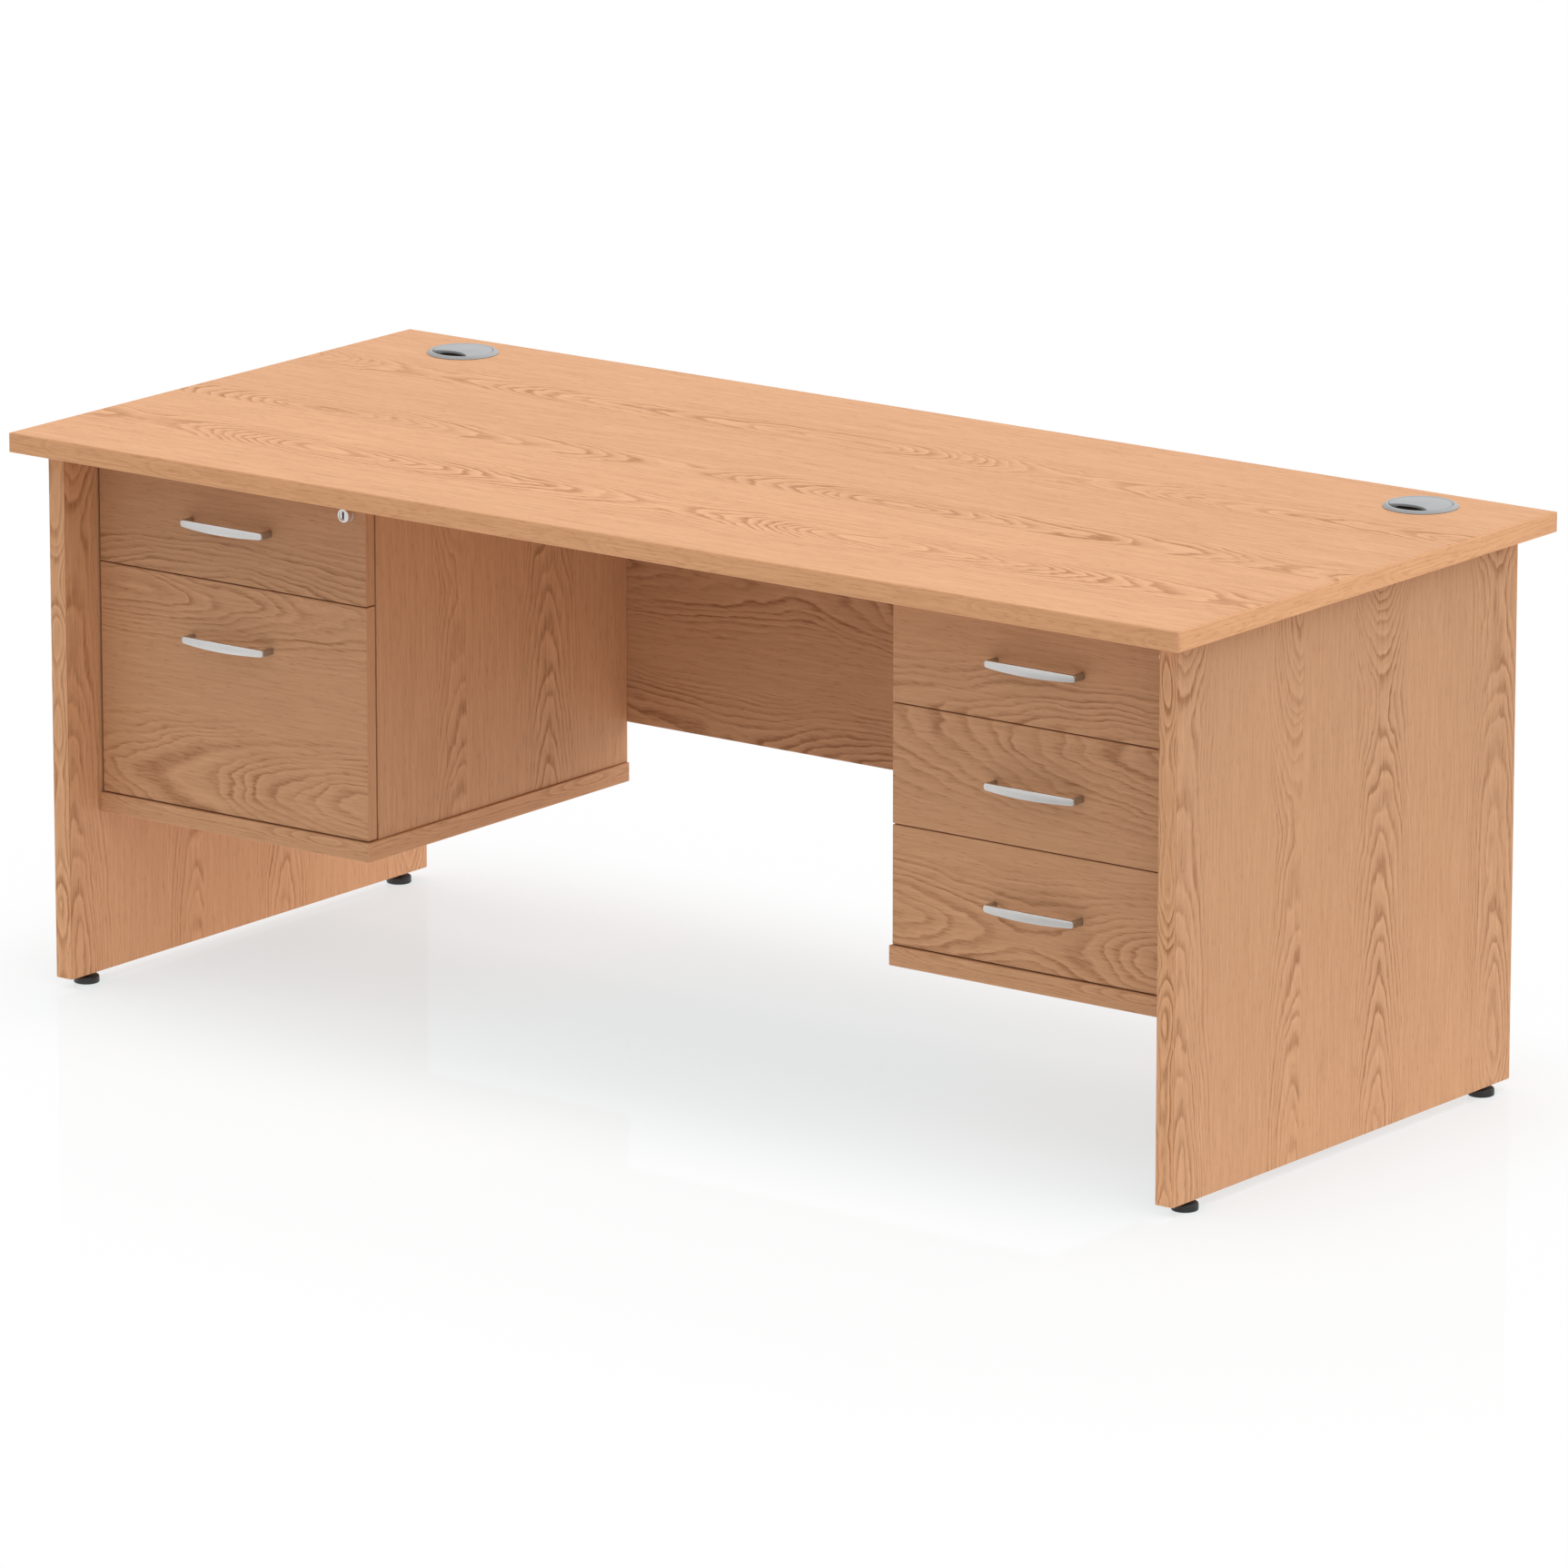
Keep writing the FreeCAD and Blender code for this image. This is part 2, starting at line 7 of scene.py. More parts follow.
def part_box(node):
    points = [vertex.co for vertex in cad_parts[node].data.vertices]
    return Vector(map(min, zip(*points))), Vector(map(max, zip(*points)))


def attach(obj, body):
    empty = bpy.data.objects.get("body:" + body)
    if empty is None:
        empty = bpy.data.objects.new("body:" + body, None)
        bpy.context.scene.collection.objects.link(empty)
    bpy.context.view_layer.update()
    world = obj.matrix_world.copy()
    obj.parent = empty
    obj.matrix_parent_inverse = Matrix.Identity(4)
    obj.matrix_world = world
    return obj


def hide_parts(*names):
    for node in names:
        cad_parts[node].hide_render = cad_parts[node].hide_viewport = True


bl_info = {
    "name": "Office desk dressing",
    "version": (1, 0, 0),
    "blender": (4, 5, 0),
    "location": "View3D > Sidebar > Desk",
    "description": "Dresses the packed desk with an oak print, handles, locks, ports, feet and fixings",
    "category": "Object",
}

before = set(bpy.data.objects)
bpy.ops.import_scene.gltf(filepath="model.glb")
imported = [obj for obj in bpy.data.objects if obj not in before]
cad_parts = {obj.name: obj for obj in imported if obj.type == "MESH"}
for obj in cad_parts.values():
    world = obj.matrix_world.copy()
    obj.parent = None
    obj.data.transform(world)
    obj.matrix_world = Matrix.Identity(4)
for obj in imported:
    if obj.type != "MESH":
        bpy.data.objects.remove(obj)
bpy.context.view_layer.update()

SIDES = ("left", "right")
DRAWERS = ("left_top", "left_filing", "right_top", "right_middle", "right_bottom")
FEET = ("front_left_foot", "front_right_foot", "back_left_foot", "back_right_foot")


def middle_of(node):
    """The middle of a node's box."""
    low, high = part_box(node)
    return 0.5 * (low + high)


# Planks and boards of the oak print

# What the print is given for a board, and for each plank of it
BOARD_VALUES = ("Along", "Across", "Through", "Strength", "Tone", "Seed")
PLANK_VALUES = ("Heart", "Size", "Depth", "Rise", "Turn", "Run", "Swell", "Skew", "Flank", "Plank Tone")

# Least depth of a heart under the face of its plank
HEART_DEPTH = 0.026

# The top is less shiny than the upright boards
BOARD_SHEEN = 0.30
TOP_SHEEN = 0.12


def plank(start, heart, size=1.0, rise=0.0, turn=0.0, run=1.0, swell=0.075, skew=0.0,
          flank=0.9, tone=1.0):
    """One plank of the print: its seam and its heart across the grain, and the size of its figure.

    The face lies at a depth from the heart that rises from a turn along the grain for a run and
    then falls back, so that flames point both ways. Swell makes the depth uneven, skew makes the
    fall shorter than the rise, and flank is the strength of the lines beside the heart.
    """
    depth = HEART_DEPTH + max(0.0, -rise) * run
    return (start, heart, size, depth, rise, turn, run, swell, skew, flank, tone)


def board(grain, sideways, planks, seed, strength=1.0, tone=1.0, sheen=BOARD_SHEEN):
    """A board of the print: the way its grain runs, the way across it, its planks and its looks, whose
    tone is partly painted light and shade.
    """
    return (grain, sideways, planks, seed, strength, tone, sheen)


PANEL_PLANKS = (
    plank(-0.40, -0.345, size=0.85, rise=0.10, turn=-0.25, run=0.40, swell=0.025, skew=0.6),
    plank(-0.25, -0.107, size=0.85, rise=0.12, turn=-0.33, run=0.36, swell=0.035, skew=0.5),
    plank(-0.098, 0.068, size=0.85, rise=0.14, turn=-0.28, run=0.40, swell=0.022, skew=0.6),
    plank(0.20, 0.318, size=0.85, rise=0.12, turn=-0.20, run=0.38, swell=0.03, skew=0.6),
)
TOP_FIGURE = {"swell": 0.035, "flank": 0.4}
TOP_PLANKS = (
    plank(-0.40, -0.232, rise=0.13, turn=-0.45, run=0.42, skew=0.5, tone=1.02, **TOP_FIGURE),
    plank(-0.075, -0.052, rise=0.12, turn=-0.62, run=0.46, skew=0.5, tone=0.985, **TOP_FIGURE),
    plank(0.07, 0.198, size=0.9, rise=0.10, turn=-0.10, run=0.50, skew=-0.5, tone=0.985, **TOP_FIGURE),
)
BASE_PLANKS = (plank(-0.40, -0.10), plank(0.21, 0.244, size=0.25, swell=0.03))
BACK_PLANKS = (
    plank(0.20, 0.30, size=1.1, rise=0.05, run=0.40),
    plank(0.42, 0.52, size=1.2, rise=-0.08, turn=-0.20, run=0.50, swell=0.05),
)
TOP_EDGE_PLANKS = (plank(0.0, middle_of("desktop_board").z, size=0.5),)
PANEL_EDGE_PLANKS = (
    plank(-1.0, middle_of("left_end_panel").x, size=0.45),
    plank(0.0, middle_of("right_end_panel").x, size=0.45, tone=1.05),
)
LEFT_TOP_PLANKS = (plank(0.42, 0.527, size=1.25, rise=0.12, turn=-0.02, run=0.25, swell=0.05),)
LEFT_FILING_PLANKS = (
    plank(0.20, 0.287, size=1.15, rise=-0.11, turn=-0.30, run=0.60, swell=0.03),
    plank(0.42, 0.527, rise=0.07, turn=-0.217, run=0.45, swell=0.03),
)
RIGHT_TOP_PLANKS = (plank(0.42, 0.535, size=1.2, rise=-0.08, turn=-0.30, run=0.60, swell=0.03),)
RIGHT_MIDDLE_PLANKS = (
    plank(0.20, 0.287, size=1.15),
    plank(0.42, 0.54, size=1.6, rise=-0.16, turn=-0.30, run=0.60, swell=0.04),
)
RIGHT_BOTTOM_PLANKS = (plank(0.20, 0.289, size=1.35, rise=-0.17, turn=-0.01, run=0.22, swell=0.04),)

# A board's tone is partly its own colour and partly painted light and shade: boards in shade are
# darkened, such as the modesty panel (0.80) and the top drawer front under the desktop's overhang (0.90),
# and boards in more light are lightened, such as the top (1.13), the left end panel (1.06) for the light
# on its inner face, and the edgings (1.17, 1.32).
BOARDS = {
    "desktop_board": board("X", "Y", TOP_PLANKS, 1.0, tone=1.13, sheen=TOP_SHEEN),
    "desktop_edging": board("X", "Y", TOP_EDGE_PLANKS, 2.0, strength=0.25, tone=1.32, sheen=TOP_SHEEN),
    "left_end_panel": board("Z", "Y", PANEL_PLANKS, 3.0, tone=1.06),
    "right_end_panel": board("Z", "Y", PANEL_PLANKS, 3.0),
    "end_panel_edging": board("Z", "Y", PANEL_EDGE_PLANKS, 4.0, strength=1.3, tone=1.17),
    "modesty_panel": board("X", "Z", BACK_PLANKS, 5.0, strength=1.3, tone=0.80),
    "left_pedestal_inner_side": board("Z", "Y", PANEL_PLANKS, 3.0, strength=0.9, tone=0.985),
    "right_pedestal_inner_side": board("Z", "Y", PANEL_PLANKS, 3.0),
    "left_top_front": board("X", "Z", LEFT_TOP_PLANKS, 7.0, strength=1.1, tone=0.90),
    "left_filing_front": board("X", "Z", LEFT_FILING_PLANKS, 7.0, strength=0.85, tone=0.96),
    "right_top_front": board("X", "Z", RIGHT_TOP_PLANKS, 8.0, strength=1.15, tone=0.99),
    "right_middle_front": board("X", "Z", RIGHT_MIDDLE_PLANKS, 8.0, strength=0.95, tone=0.97),
    "right_bottom_front": board("X", "Z", RIGHT_BOTTOM_PLANKS, 8.0, tone=0.99),
}
for pedestal in SIDES:
    BOARDS[f"{pedestal}_pedestal_base"] = board("X", "Y", BASE_PLANKS, 6.0, strength=0.7)
    BOARDS[f"{pedestal}_pedestal_outer_side"] = board("Z", "Y", PANEL_PLANKS, 3.0)
    BOARDS[f"{pedestal}_pedestal_back"] = board("X", "Z", BACK_PLANKS, 5.0)
    BOARDS[f"{pedestal}_pedestal_rails"] = board("X", "Y", TOP_PLANKS, 6.0, strength=0.8)


# Settings


def colour_property(name, description, value):
    return bpy.props.FloatVectorProperty(
        name=name, description=description, subtype="COLOR", size=3, min=0.0, max=1.0, default=value)


def length_property(name, description, value):
    return bpy.props.FloatProperty(
        name=name, description=description, subtype="DISTANCE", unit="LENGTH", min=0.0, max=2.0,
        default=value)


def angle_property(name, description, degrees):
    return bpy.props.FloatProperty(
        name=name, description=description, subtype="ANGLE", unit="ROTATION",
        default=math.radians(degrees))


def level_property(name, description, value):
    return bpy.props.FloatProperty(name=name, description=description, min=0.0, max=5.0, default=value)


class DeskFinish(bpy.types.PropertyGroup):
    """Colours of the desk, some of them painted shade, and the scale of its printed oak."""

    oak_light: colour_property("Oak, pale wood", "Wood between the growth lines", (0.596, 0.316, 0.163))
    oak_dark: colour_property("Oak, growth lines", "Wood in the growth lines", (0.340, 0.148, 0.060))
    silver: colour_property("Handle silver", "Satin silver of the handles", (0.72, 0.715, 0.70))
    # The posts' silver is darker than the bar's: painted shade, for the shade the posts stand in and the
    # shaded wood they reflect
    shaded_post_silver: colour_property("Post silver", "Duller silver of a handle's posts", (0.50, 0.495, 0.485))
    nickel: colour_property("Lock nickel", "Bright nickel of the locks", (0.82, 0.81, 0.80))
    zinc: colour_property("Zinc plate", "Plating of the runners and fixings", (0.55, 0.56, 0.58))
    tray_grey: colour_property("Tray grey", "Powder coat of the drawer trays", (0.33, 0.34, 0.35))
    port_grey: colour_property("Port grey", "Moulding of the cable ports", (0.34, 0.35, 0.355))
    # The inside of a cable port is near-black: painted shade down the bore
    sleeve_shade_grey: colour_property("Sleeve grey", "Dark inside of the cable ports", (0.020, 0.020, 0.020))
    foot_black: colour_property("Foot black", "Moulding of the feet", (0.012, 0.012, 0.013))
    # The floor of a keyway is near-black: painted shade at the bottom of the slot
    keyway_shade_black: colour_property("Keyway black", "Oily wards in a lock's keyway", (0.020, 0.019, 0.018))
    ring_width: length_property("Growth ring", "Width of one growth ring", 0.0055)


class DeskSizes(bpy.types.PropertyGroup):
    """Sizes of the small modelled pieces; their places come from the frame."""

    handle_bow: length_property("Handle bow", "How far a handle bows out between its ends", 0.006)
    handle_bar: length_property("Handle bar", "Thickness of a handle's bar", 0.004)
    handle_post: length_property("Handle post", "Width of a handle's posts", 0.0055)
    handle_end_height: length_property("Handle end", "Height of a bar at its ends", 0.0084)
    handle_corner: length_property("Handle corner", "Rounding of the bar's end corners", 0.0036)
    handle_arris: length_property("Handle arris", "Rounding of a handle's edges", 0.0006)
    tray_wall: length_property("Tray wall", "Thickness of a tray's sheet", 0.001)
    runner_steel: length_property("Runner steel", "Thickness of a runner's steel", 0.0012)
    runner_screw_head: length_property("Runner screw", "Radius of the runner screws' heads", 0.0036)
    runner_screw_inset: length_property("Runner screw inset", "End screws from a runner's ends", 0.045)
    port_bore: length_property("Port bore", "Radius of a cable port's bore", 0.0374)
    port_seat: length_property("Port seat", "Radius of the recess for a port's cap", 0.0397)
    port_sleeve: length_property("Port sleeve", "Radius of a port's sleeve", 0.0397)
    cap_thickness: length_property("Cap thickness", "Thickness of a cable port's cap", 0.003)
    foot_pad_height: length_property("Foot pad", "Height of a foot's pad", 0.010)
    foot_shoulder: length_property("Foot shoulder", "Rounding of a pad's top edge", 0.0030)
    foot_sole: length_property("Foot sole", "Rounding of a pad's bottom edge", 0.0016)
    foot_stud: length_property("Foot stud", "Radius of a foot's threaded stud", 0.004)


class DeskView(bpy.types.PropertyGroup):
    """Where the camera stands and how bright the studio is."""

    camera_place: bpy.props.FloatVectorProperty(
        name="Camera place", description="Where the camera stands",
        subtype="TRANSLATION", unit="LENGTH", size=3, default=(8.2372, -10.8300, 3.7517))
    azimuth: angle_property("Azimuth", "Turn of the camera round the desk", 37.188)
    elevation: angle_property("Elevation", "Camera above the horizon", 14.127)
    lens: bpy.props.FloatProperty(
        name="Lens", description="Focal length in millimetres", min=1.0, max=1000.0, default=258.38)
    sky: level_property("Sky", "Even light from all sides", 0.05)
    overhead: level_property("Overhead", "Soft light from above", 1.255)
    right: level_property("Right", "Soft light from the right", 0.41)
    behind: level_property("Behind", "Soft light from behind", 1.40)


# Shader node helpers


def feed(tree, item, given):
    """Give a node's sockets, by name or number, their values or links from other sockets."""
    for socket, value in given.items():
        if isinstance(value, bpy.types.NodeSocket):
            tree.links.new(value, item.inputs[socket])
        else:
            item.inputs[socket].default_value = value


def add_node(tree, kind, given=None, **settings):
    """Add a shader node, and give back its outputs."""
    item = tree.nodes.new(f"ShaderNode{kind}")
    for name, value in settings.items():
        setattr(item, name, value)
    feed(tree, item, given or {})
    return item.outputs


def sums(tree, operation, *values):
    return add_node(tree, "Math", dict(enumerate(values)), operation=operation)[0]


def times(tree, first, second, plus=0.0):
    """The first times the second, plus a third."""
    return sums(tree, "MULTIPLY_ADD", first, second, plus)


def vector(tree, x, y, z):
    return add_node(tree, "CombineXYZ", {"X": x, "Y": y, "Z": z})[0]


def separate(tree, source):
    """The X, Y and Z of a vector."""
    return add_node(tree, "SeparateXYZ", {0: source})


def noise(tree, place, detail=2.0, roughness=0.5, cells=1.0):
    """Smooth noise from about 0.2 to 0.8, with a number of cells to each unit of the place."""
    given = {"Vector": place, "Scale": cells, "Detail": detail, "Roughness": roughness}
    return add_node(tree, "TexNoise", given)[0]


def centred(tree, value):
    """Noise that goes to both sides of 0."""
    return sums(tree, "SUBTRACT", value, 0.5)


def remap(tree, value, low, high, new_low=0.0, new_high=1.0, kind="SMOOTHSTEP"):
    given = {"Value": value, "From Min": low, "From Max": high, "To Min": new_low, "To Max": new_high}
    return add_node(tree, "MapRange", given, interpolation_type=kind)[0]


def band(tree, value, start, full, fade, end):
    """1 between full and fade, falling to 0 at the start and the end."""
    rise = remap(tree, value, start, full)
    return times(tree, rise, remap(tree, value, fade, end, 1.0, 0.0))


def swap(tree, factor, first, second):
    """The first where the factor is 0, the second where it is 1."""
    return add_node(tree, "Mix", {0: factor, 2: first, 3: second}, data_type="FLOAT")[0]


def blend_colour(tree, factor, first, second, mode="MIX"):
    given = {0: factor, 6: first, 7: second}
    return add_node(tree, "Mix", given, data_type="RGBA", blend_type=mode, clamp_factor=False)[2]


def rgba(colour, factor=1.0):
    return (colour[0] * factor, colour[1] * factor, colour[2] * factor, 1.0)


def tinted(tree, factor, colour, darkest, lightest):
    """A colour that varies between two shares of itself."""
    return blend_colour(tree, factor, rgba(colour, darkest), rgba(colour, lightest))


def bump(tree, height, strength, distance):
    given = {"Strength": strength, "Distance": distance, "Height": height}
    return add_node(tree, "Bump", given)[0]


def mix_shaders(tree, factor, first, second):
    return add_node(tree, "MixShader", {0: factor, 1: first, 2: second})[0]


def new_material(name):
    """A material with only its shader and output, and the place of a point in the object."""
    material = bpy.data.materials.new(name)
    material.use_nodes = True
    tree = material.node_tree
    return material, tree, tree.nodes["Principled BSDF"], add_node(tree, "TexCoord")["Object"]


# Oak

# Cells per metre of the print's noises, along the grain and across it
WANDER_CELLS = 2.6
SWELL_CELLS = 2.8
WAVE_CELLS = (11.0, 30.0)
JAG_CELLS = (60.0, 170.0)
PATCH_CELLS = (5.0, 22.0)
PORE_CELLS = (48.0, 520.0)
FIBRE_CELLS = (10.0, 260.0)
STREAK_CELLS = (1.6, 46.0)
CLOUD_CELLS = (1.1, 5.0)
THROUGH_CELLS = 400.0

# Steps that keep the noises of planks and boards apart
HEART_STEP = 61.7
SEED_STEP = 3.77
WANDER_LAYER = 0.5
SWELL_LAYER = 4.5
UNEVEN_LAYER = 8.5

# How far the noises move the heart, the rings and the fibres
HEART_WANDER = 0.030
RING_WAVE = 0.012
RING_JAG = 0.0014
FIBRE_WAVE = 0.010

# Uneven rings: cells per ring, and how many rings the noise moves them by
UNEVEN_CELLS = 0.31
UNEVEN_RINGS = 2.6

# Where the dark line and the pale band of a ring start, are full, fade and end
DARK_LINE = (0.0, 0.10, 0.16, 0.58)
PALE_BAND = (0.66, 0.90, 0.94, 1.0)
WEAKEST_LINE = 0.42

# Where flames and the lines beside them fade, across the grain, and what is left of the lines
FLAME_FADE = (0.032, 0.050)
FLANK_FADE = (0.045, 0.085)
FLANK_REST = 0.12

# Patches of the figure: range of their noise, and the strength at its two ends
FLAME_PATCH = (0.30, 0.62, 0.5, 1.1)
FLANK_PATCH = (0.34, 0.56, 0.40, 1.0)

# Range of the noise that shows as pores, and what a growth line adds to it
PORE_RANGE = (0.55, 0.72)
PORE_IN_LINE = 0.16

# Share of each part of the print in the darkness of the wood
PLAIN_DARK = 0.10
LINE_DARK = 0.46
PALE_DARK = -0.14
PORE_DARK = 0.36
FIBRE_DARK = 0.85
STREAK_DARK = 0.12
CLOUD_TONE = 0.08

# Roughness of pale wood and what darkness adds to it, and the relief of the print
PLAIN_ROUGHNESS = 0.58
DARK_ROUGHNESS = 0.16
PORE_RELIEF = -0.8
LINE_RELIEF = -0.3
FIBRE_RELIEF = 0.5

# A face whose normal leans this much along an axis faces that way
FACING = 0.8


def slow_noise(tree, along, own, cells, layer):
    """Noise round 0 that changes only along the grain."""
    return centred(tree, noise(tree, vector(tree, times(tree, along, cells), own, layer)))


def grain_noise(tree, along, across, third, cells, detail=2.0, roughness=0.5):
    """Noise drawn out along the grain."""
    x = times(tree, along, cells[0])
    y = times(tree, across, cells[1])
    return noise(tree, vector(tree, x, y, third), detail, roughness)


def beside_heart(tree, given, own):
    """Distance across the grain from the heart, which wanders sideways as the plank runs on."""
    wander = slow_noise(tree, given["Along"], own, WANDER_CELLS, WANDER_LAYER)
    side = sums(tree, "SUBTRACT", given["Across"], given["Heart"])
    side = times(tree, wander, -HEART_WANDER, side)
    return sums(tree, "DIVIDE", side, given["Size"])


def over_heart(tree, given, own):
    """Depth of the heart under the face, which comes nearer and goes off as the plank runs on."""
    turned = sums(tree, "DIVIDE", sums(tree, "SUBTRACT", given["Along"], given["Turn"]), given["Run"])
    turned = times(tree, turned, math.pi)
    turned = times(tree, given["Skew"], sums(tree, "COSINE", turned), turned)
    fold = times(tree, sums(tree, "COSINE", turned), -0.5, 0.5)
    fold = times(tree, fold, given["Run"])
    deep = times(tree, given["Rise"], fold, given["Depth"])
    uneven = slow_noise(tree, given["Along"], own, SWELL_CELLS, SWELL_LAYER)
    deep = times(tree, uneven, given["Swell"], deep)
    return sums(tree, "DIVIDE", deep, given["Size"])


def growth_rings(tree, reach, own, ring_width):
    """The dark porous line and the pale band of each ring, some lines stronger than others."""
    phase = sums(tree, "DIVIDE", reach, ring_width)
    place = vector(tree, times(tree, phase, UNEVEN_CELLS), own, UNEVEN_LAYER)
    phase = times(tree, noise(tree, place, 1.0), UNEVEN_RINGS, phase)
    ring = sums(tree, "FRACT", phase)
    given = {"Vector": vector(tree, sums(tree, "FLOOR", phase), own, 0.0)}
    chance = add_node(tree, "TexWhiteNoise", given, noise_dimensions="2D")["Value"]
    weight = remap(tree, chance, 0.0, 1.0, WEAKEST_LINE, 1.0, "LINEAR")
    line = times(tree, band(tree, ring, *DARK_LINE), weight)
    return line, band(tree, ring, *PALE_BAND)


def figure_strength(tree, side, patch, flank):
    """Flames over the heart, a bundle of lines beside it, then plain wood."""
    off = sums(tree, "ABSOLUTE", side)
    flame = remap(tree, off, *FLAME_FADE, 1.0, 0.0)
    flame = times(tree, flame, remap(tree, patch, *FLAME_PATCH))
    beside = remap(tree, off, *FLANK_FADE, 1.0, FLANK_REST)
    beside = times(tree, beside, remap(tree, patch, *FLANK_PATCH))
    return sums(tree, "MAXIMUM", flame, times(tree, beside, flank))


def oak_group(finish):
    """The oak print of a plank cut from a log: growth lines, pores, fibres and clouds of tone."""
    tree = bpy.data.node_groups.new("oak_figure", "ShaderNodeTree")
    for name in BOARD_VALUES + PLANK_VALUES:
        tree.interface.new_socket(name, in_out="INPUT", socket_type="NodeSocketFloat")
    tree.interface.new_socket("Color", in_out="OUTPUT", socket_type="NodeSocketColor")
    tree.interface.new_socket("Roughness", in_out="OUTPUT", socket_type="NodeSocketFloat")
    tree.interface.new_socket("Height", in_out="OUTPUT", socket_type="NodeSocketFloat")
    given = tree.nodes.new("NodeGroupInput").outputs
    along = given["Along"]
    across = given["Across"]
    own = times(tree, given["Seed"], SEED_STEP)
    own = times(tree, given["Heart"], HEART_STEP, own)

    # Rings round the heart, with wavy and slightly jagged edges
    side = beside_heart(tree, given, own)
    deep = over_heart(tree, given, own)
    wave = centred(tree, grain_noise(tree, along, across, own, WAVE_CELLS))
    jag = centred(tree, grain_noise(tree, along, across, own, JAG_CELLS))
    reach = times(tree, side, side, times(tree, deep, deep))
    reach = times(tree, wave, RING_WAVE, sums(tree, "SQRT", reach))
    reach = times(tree, jag, RING_JAG, reach)
    line, pale = growth_rings(tree, reach, own, finish.ring_width)
    patch = grain_noise(tree, along, across, own, PATCH_CELLS, 1.0)
    figured = figure_strength(tree, side, patch, given["Flank"])
    figured = times(tree, figured, given["Strength"])
    line = times(tree, line, figured)
    pale = times(tree, pale, figured)

    # Pores are short dark dashes, closer together in the lines; fibres and streaks are longer
    sway = times(tree, wave, FIBRE_WAVE, across)
    dash = grain_noise(tree, along, sway, given["Through"], PORE_CELLS, 2.0, 0.6)
    pore = remap(tree, times(tree, line, PORE_IN_LINE, dash), *PORE_RANGE)
    fibre = grain_noise(tree, along, sway, given["Through"], FIBRE_CELLS, 3.0, 0.6)
    streak = grain_noise(tree, along, sway, own, STREAK_CELLS)

    # Darkness from all of these
    dark = times(tree, line, LINE_DARK, PLAIN_DARK)
    dark = times(tree, pale, PALE_DARK, dark)
    dark = times(tree, pore, PORE_DARK, dark)
    dark = times(tree, centred(tree, fibre), FIBRE_DARK, dark)
    dark = times(tree, centred(tree, streak), STREAK_DARK, dark)
    wood = blend_colour(tree, dark, rgba(finish.oak_light), rgba(finish.oak_dark))

    # Broad tone: the board's, which is partly painted light and shade, then each plank its own, with slow
    # clouds
    cloud = centred(tree, grain_noise(tree, along, across, own, CLOUD_CELLS))
    tone = times(tree, given["Tone"], given["Plank Tone"])
    tone = times(tree, cloud, CLOUD_TONE, tone)
    wood = blend_colour(tree, 1.0, wood, vector(tree, tone, tone, tone), "MULTIPLY")

    roughness = times(tree, dark, DARK_ROUGHNESS, PLAIN_ROUGHNESS)
    relief = times(tree, pore, PORE_RELIEF, times(tree, line, LINE_RELIEF))
    relief = times(tree, fibre, FIBRE_RELIEF, relief)
    result = tree.nodes.new("NodeGroupOutput")
    feed(tree, result, {"Color": wood, "Roughness": roughness, "Height": relief})
    return tree


def plank_values(tree, across, planks):
    """The values of the plank at a place: each changes in a step at the seams."""
    values = list(planks[0][1:])
    for before, after in zip(planks, planks[1:]):
        past = sums(tree, "GREATER_THAN", across, after[0])
        for number, (old, new) in enumerate(zip(before[1:], after[1:])):
            if new != old:
                values[number] = times(tree, past, new - old, values[number])
    return values


def oak(node, group, grain, sideways, planks, seed, strength, tone, sheen):
    """Printed oak on one board; its cut ends and edges have the grain along their length."""
    material, tree, shader, point = new_material(f"oak_{node}")
    axes = "XYZ"
    third = axes.replace(grain, "").replace(sideways, "")
    place = separate(tree, point)
    facing = separate(tree, add_node(tree, "TexCoord")["Normal"])
    run = sums(tree, "SUBTRACT", place[grain], middle_of(node)[axes.index(grain)])
    over = place[sideways]
    deep = place[third]
    is_end = sums(tree, "GREATER_THAN", sums(tree, "ABSOLUTE", facing[grain]), FACING)
    is_edge = sums(tree, "GREATER_THAN", sums(tree, "ABSOLUTE", facing[sideways]), FACING)
    across = swap(tree, sums(tree, "MAXIMUM", is_end, is_edge), over, deep)
    through = times(tree, deep, THROUGH_CELLS)
    values = [swap(tree, is_end, run, over), across, through, strength, tone, seed]
    values += plank_values(tree, across, planks)
    given = dict(zip(BOARD_VALUES + PLANK_VALUES, values))
    figure = add_node(tree, "Group", given, node_tree=group)
    feed(tree, shader, {
        "Base Color": figure["Color"],
        "Roughness": figure["Roughness"],
        "Specular IOR Level": sheen,
        "Normal": bump(tree, figure["Height"], strength=0.25, distance=0.0002),
    })
    return material


# Metals and plastics

# Cells per metre of a drawn finish, long in the way that the metal was drawn
DRAWN_ALONG_X = (14.0, 700.0, 700.0)
DRAWN_ALONG_Y = (700.0, 14.0, 700.0)
ROLLED_ALONG_Y = (900.0, 12.0, 900.0)
TUMBLED = (500.0, 500.0, 500.0)
POLISHED = (300.0, 300.0, 300.0)


def brushed(name, colour, roughness, cells):
    """Metal with a fine drawn finish and faint handling marks."""
    material, tree, shader, place = new_material(name)
    drawn = noise(tree, add_node(tree, "Mapping", {"Vector": place, "Scale": cells})[0], 3.0, 0.6)
    marks = noise(tree, place, cells=35.0)
    mix = times(tree, drawn, 0.6, times(tree, marks, 0.4))
    feed(tree, shader, {
        "Base Color": tinted(tree, mix, colour, darkest=0.86, lightest=1.1),
        "Roughness": remap(tree, mix, 0.2, 0.8, 0.8 * roughness, 1.25 * roughness, "LINEAR"),
        "Metallic": 1.0,
        "Normal": bump(tree, drawn, strength=0.08, distance=0.00005),
    })
    return material


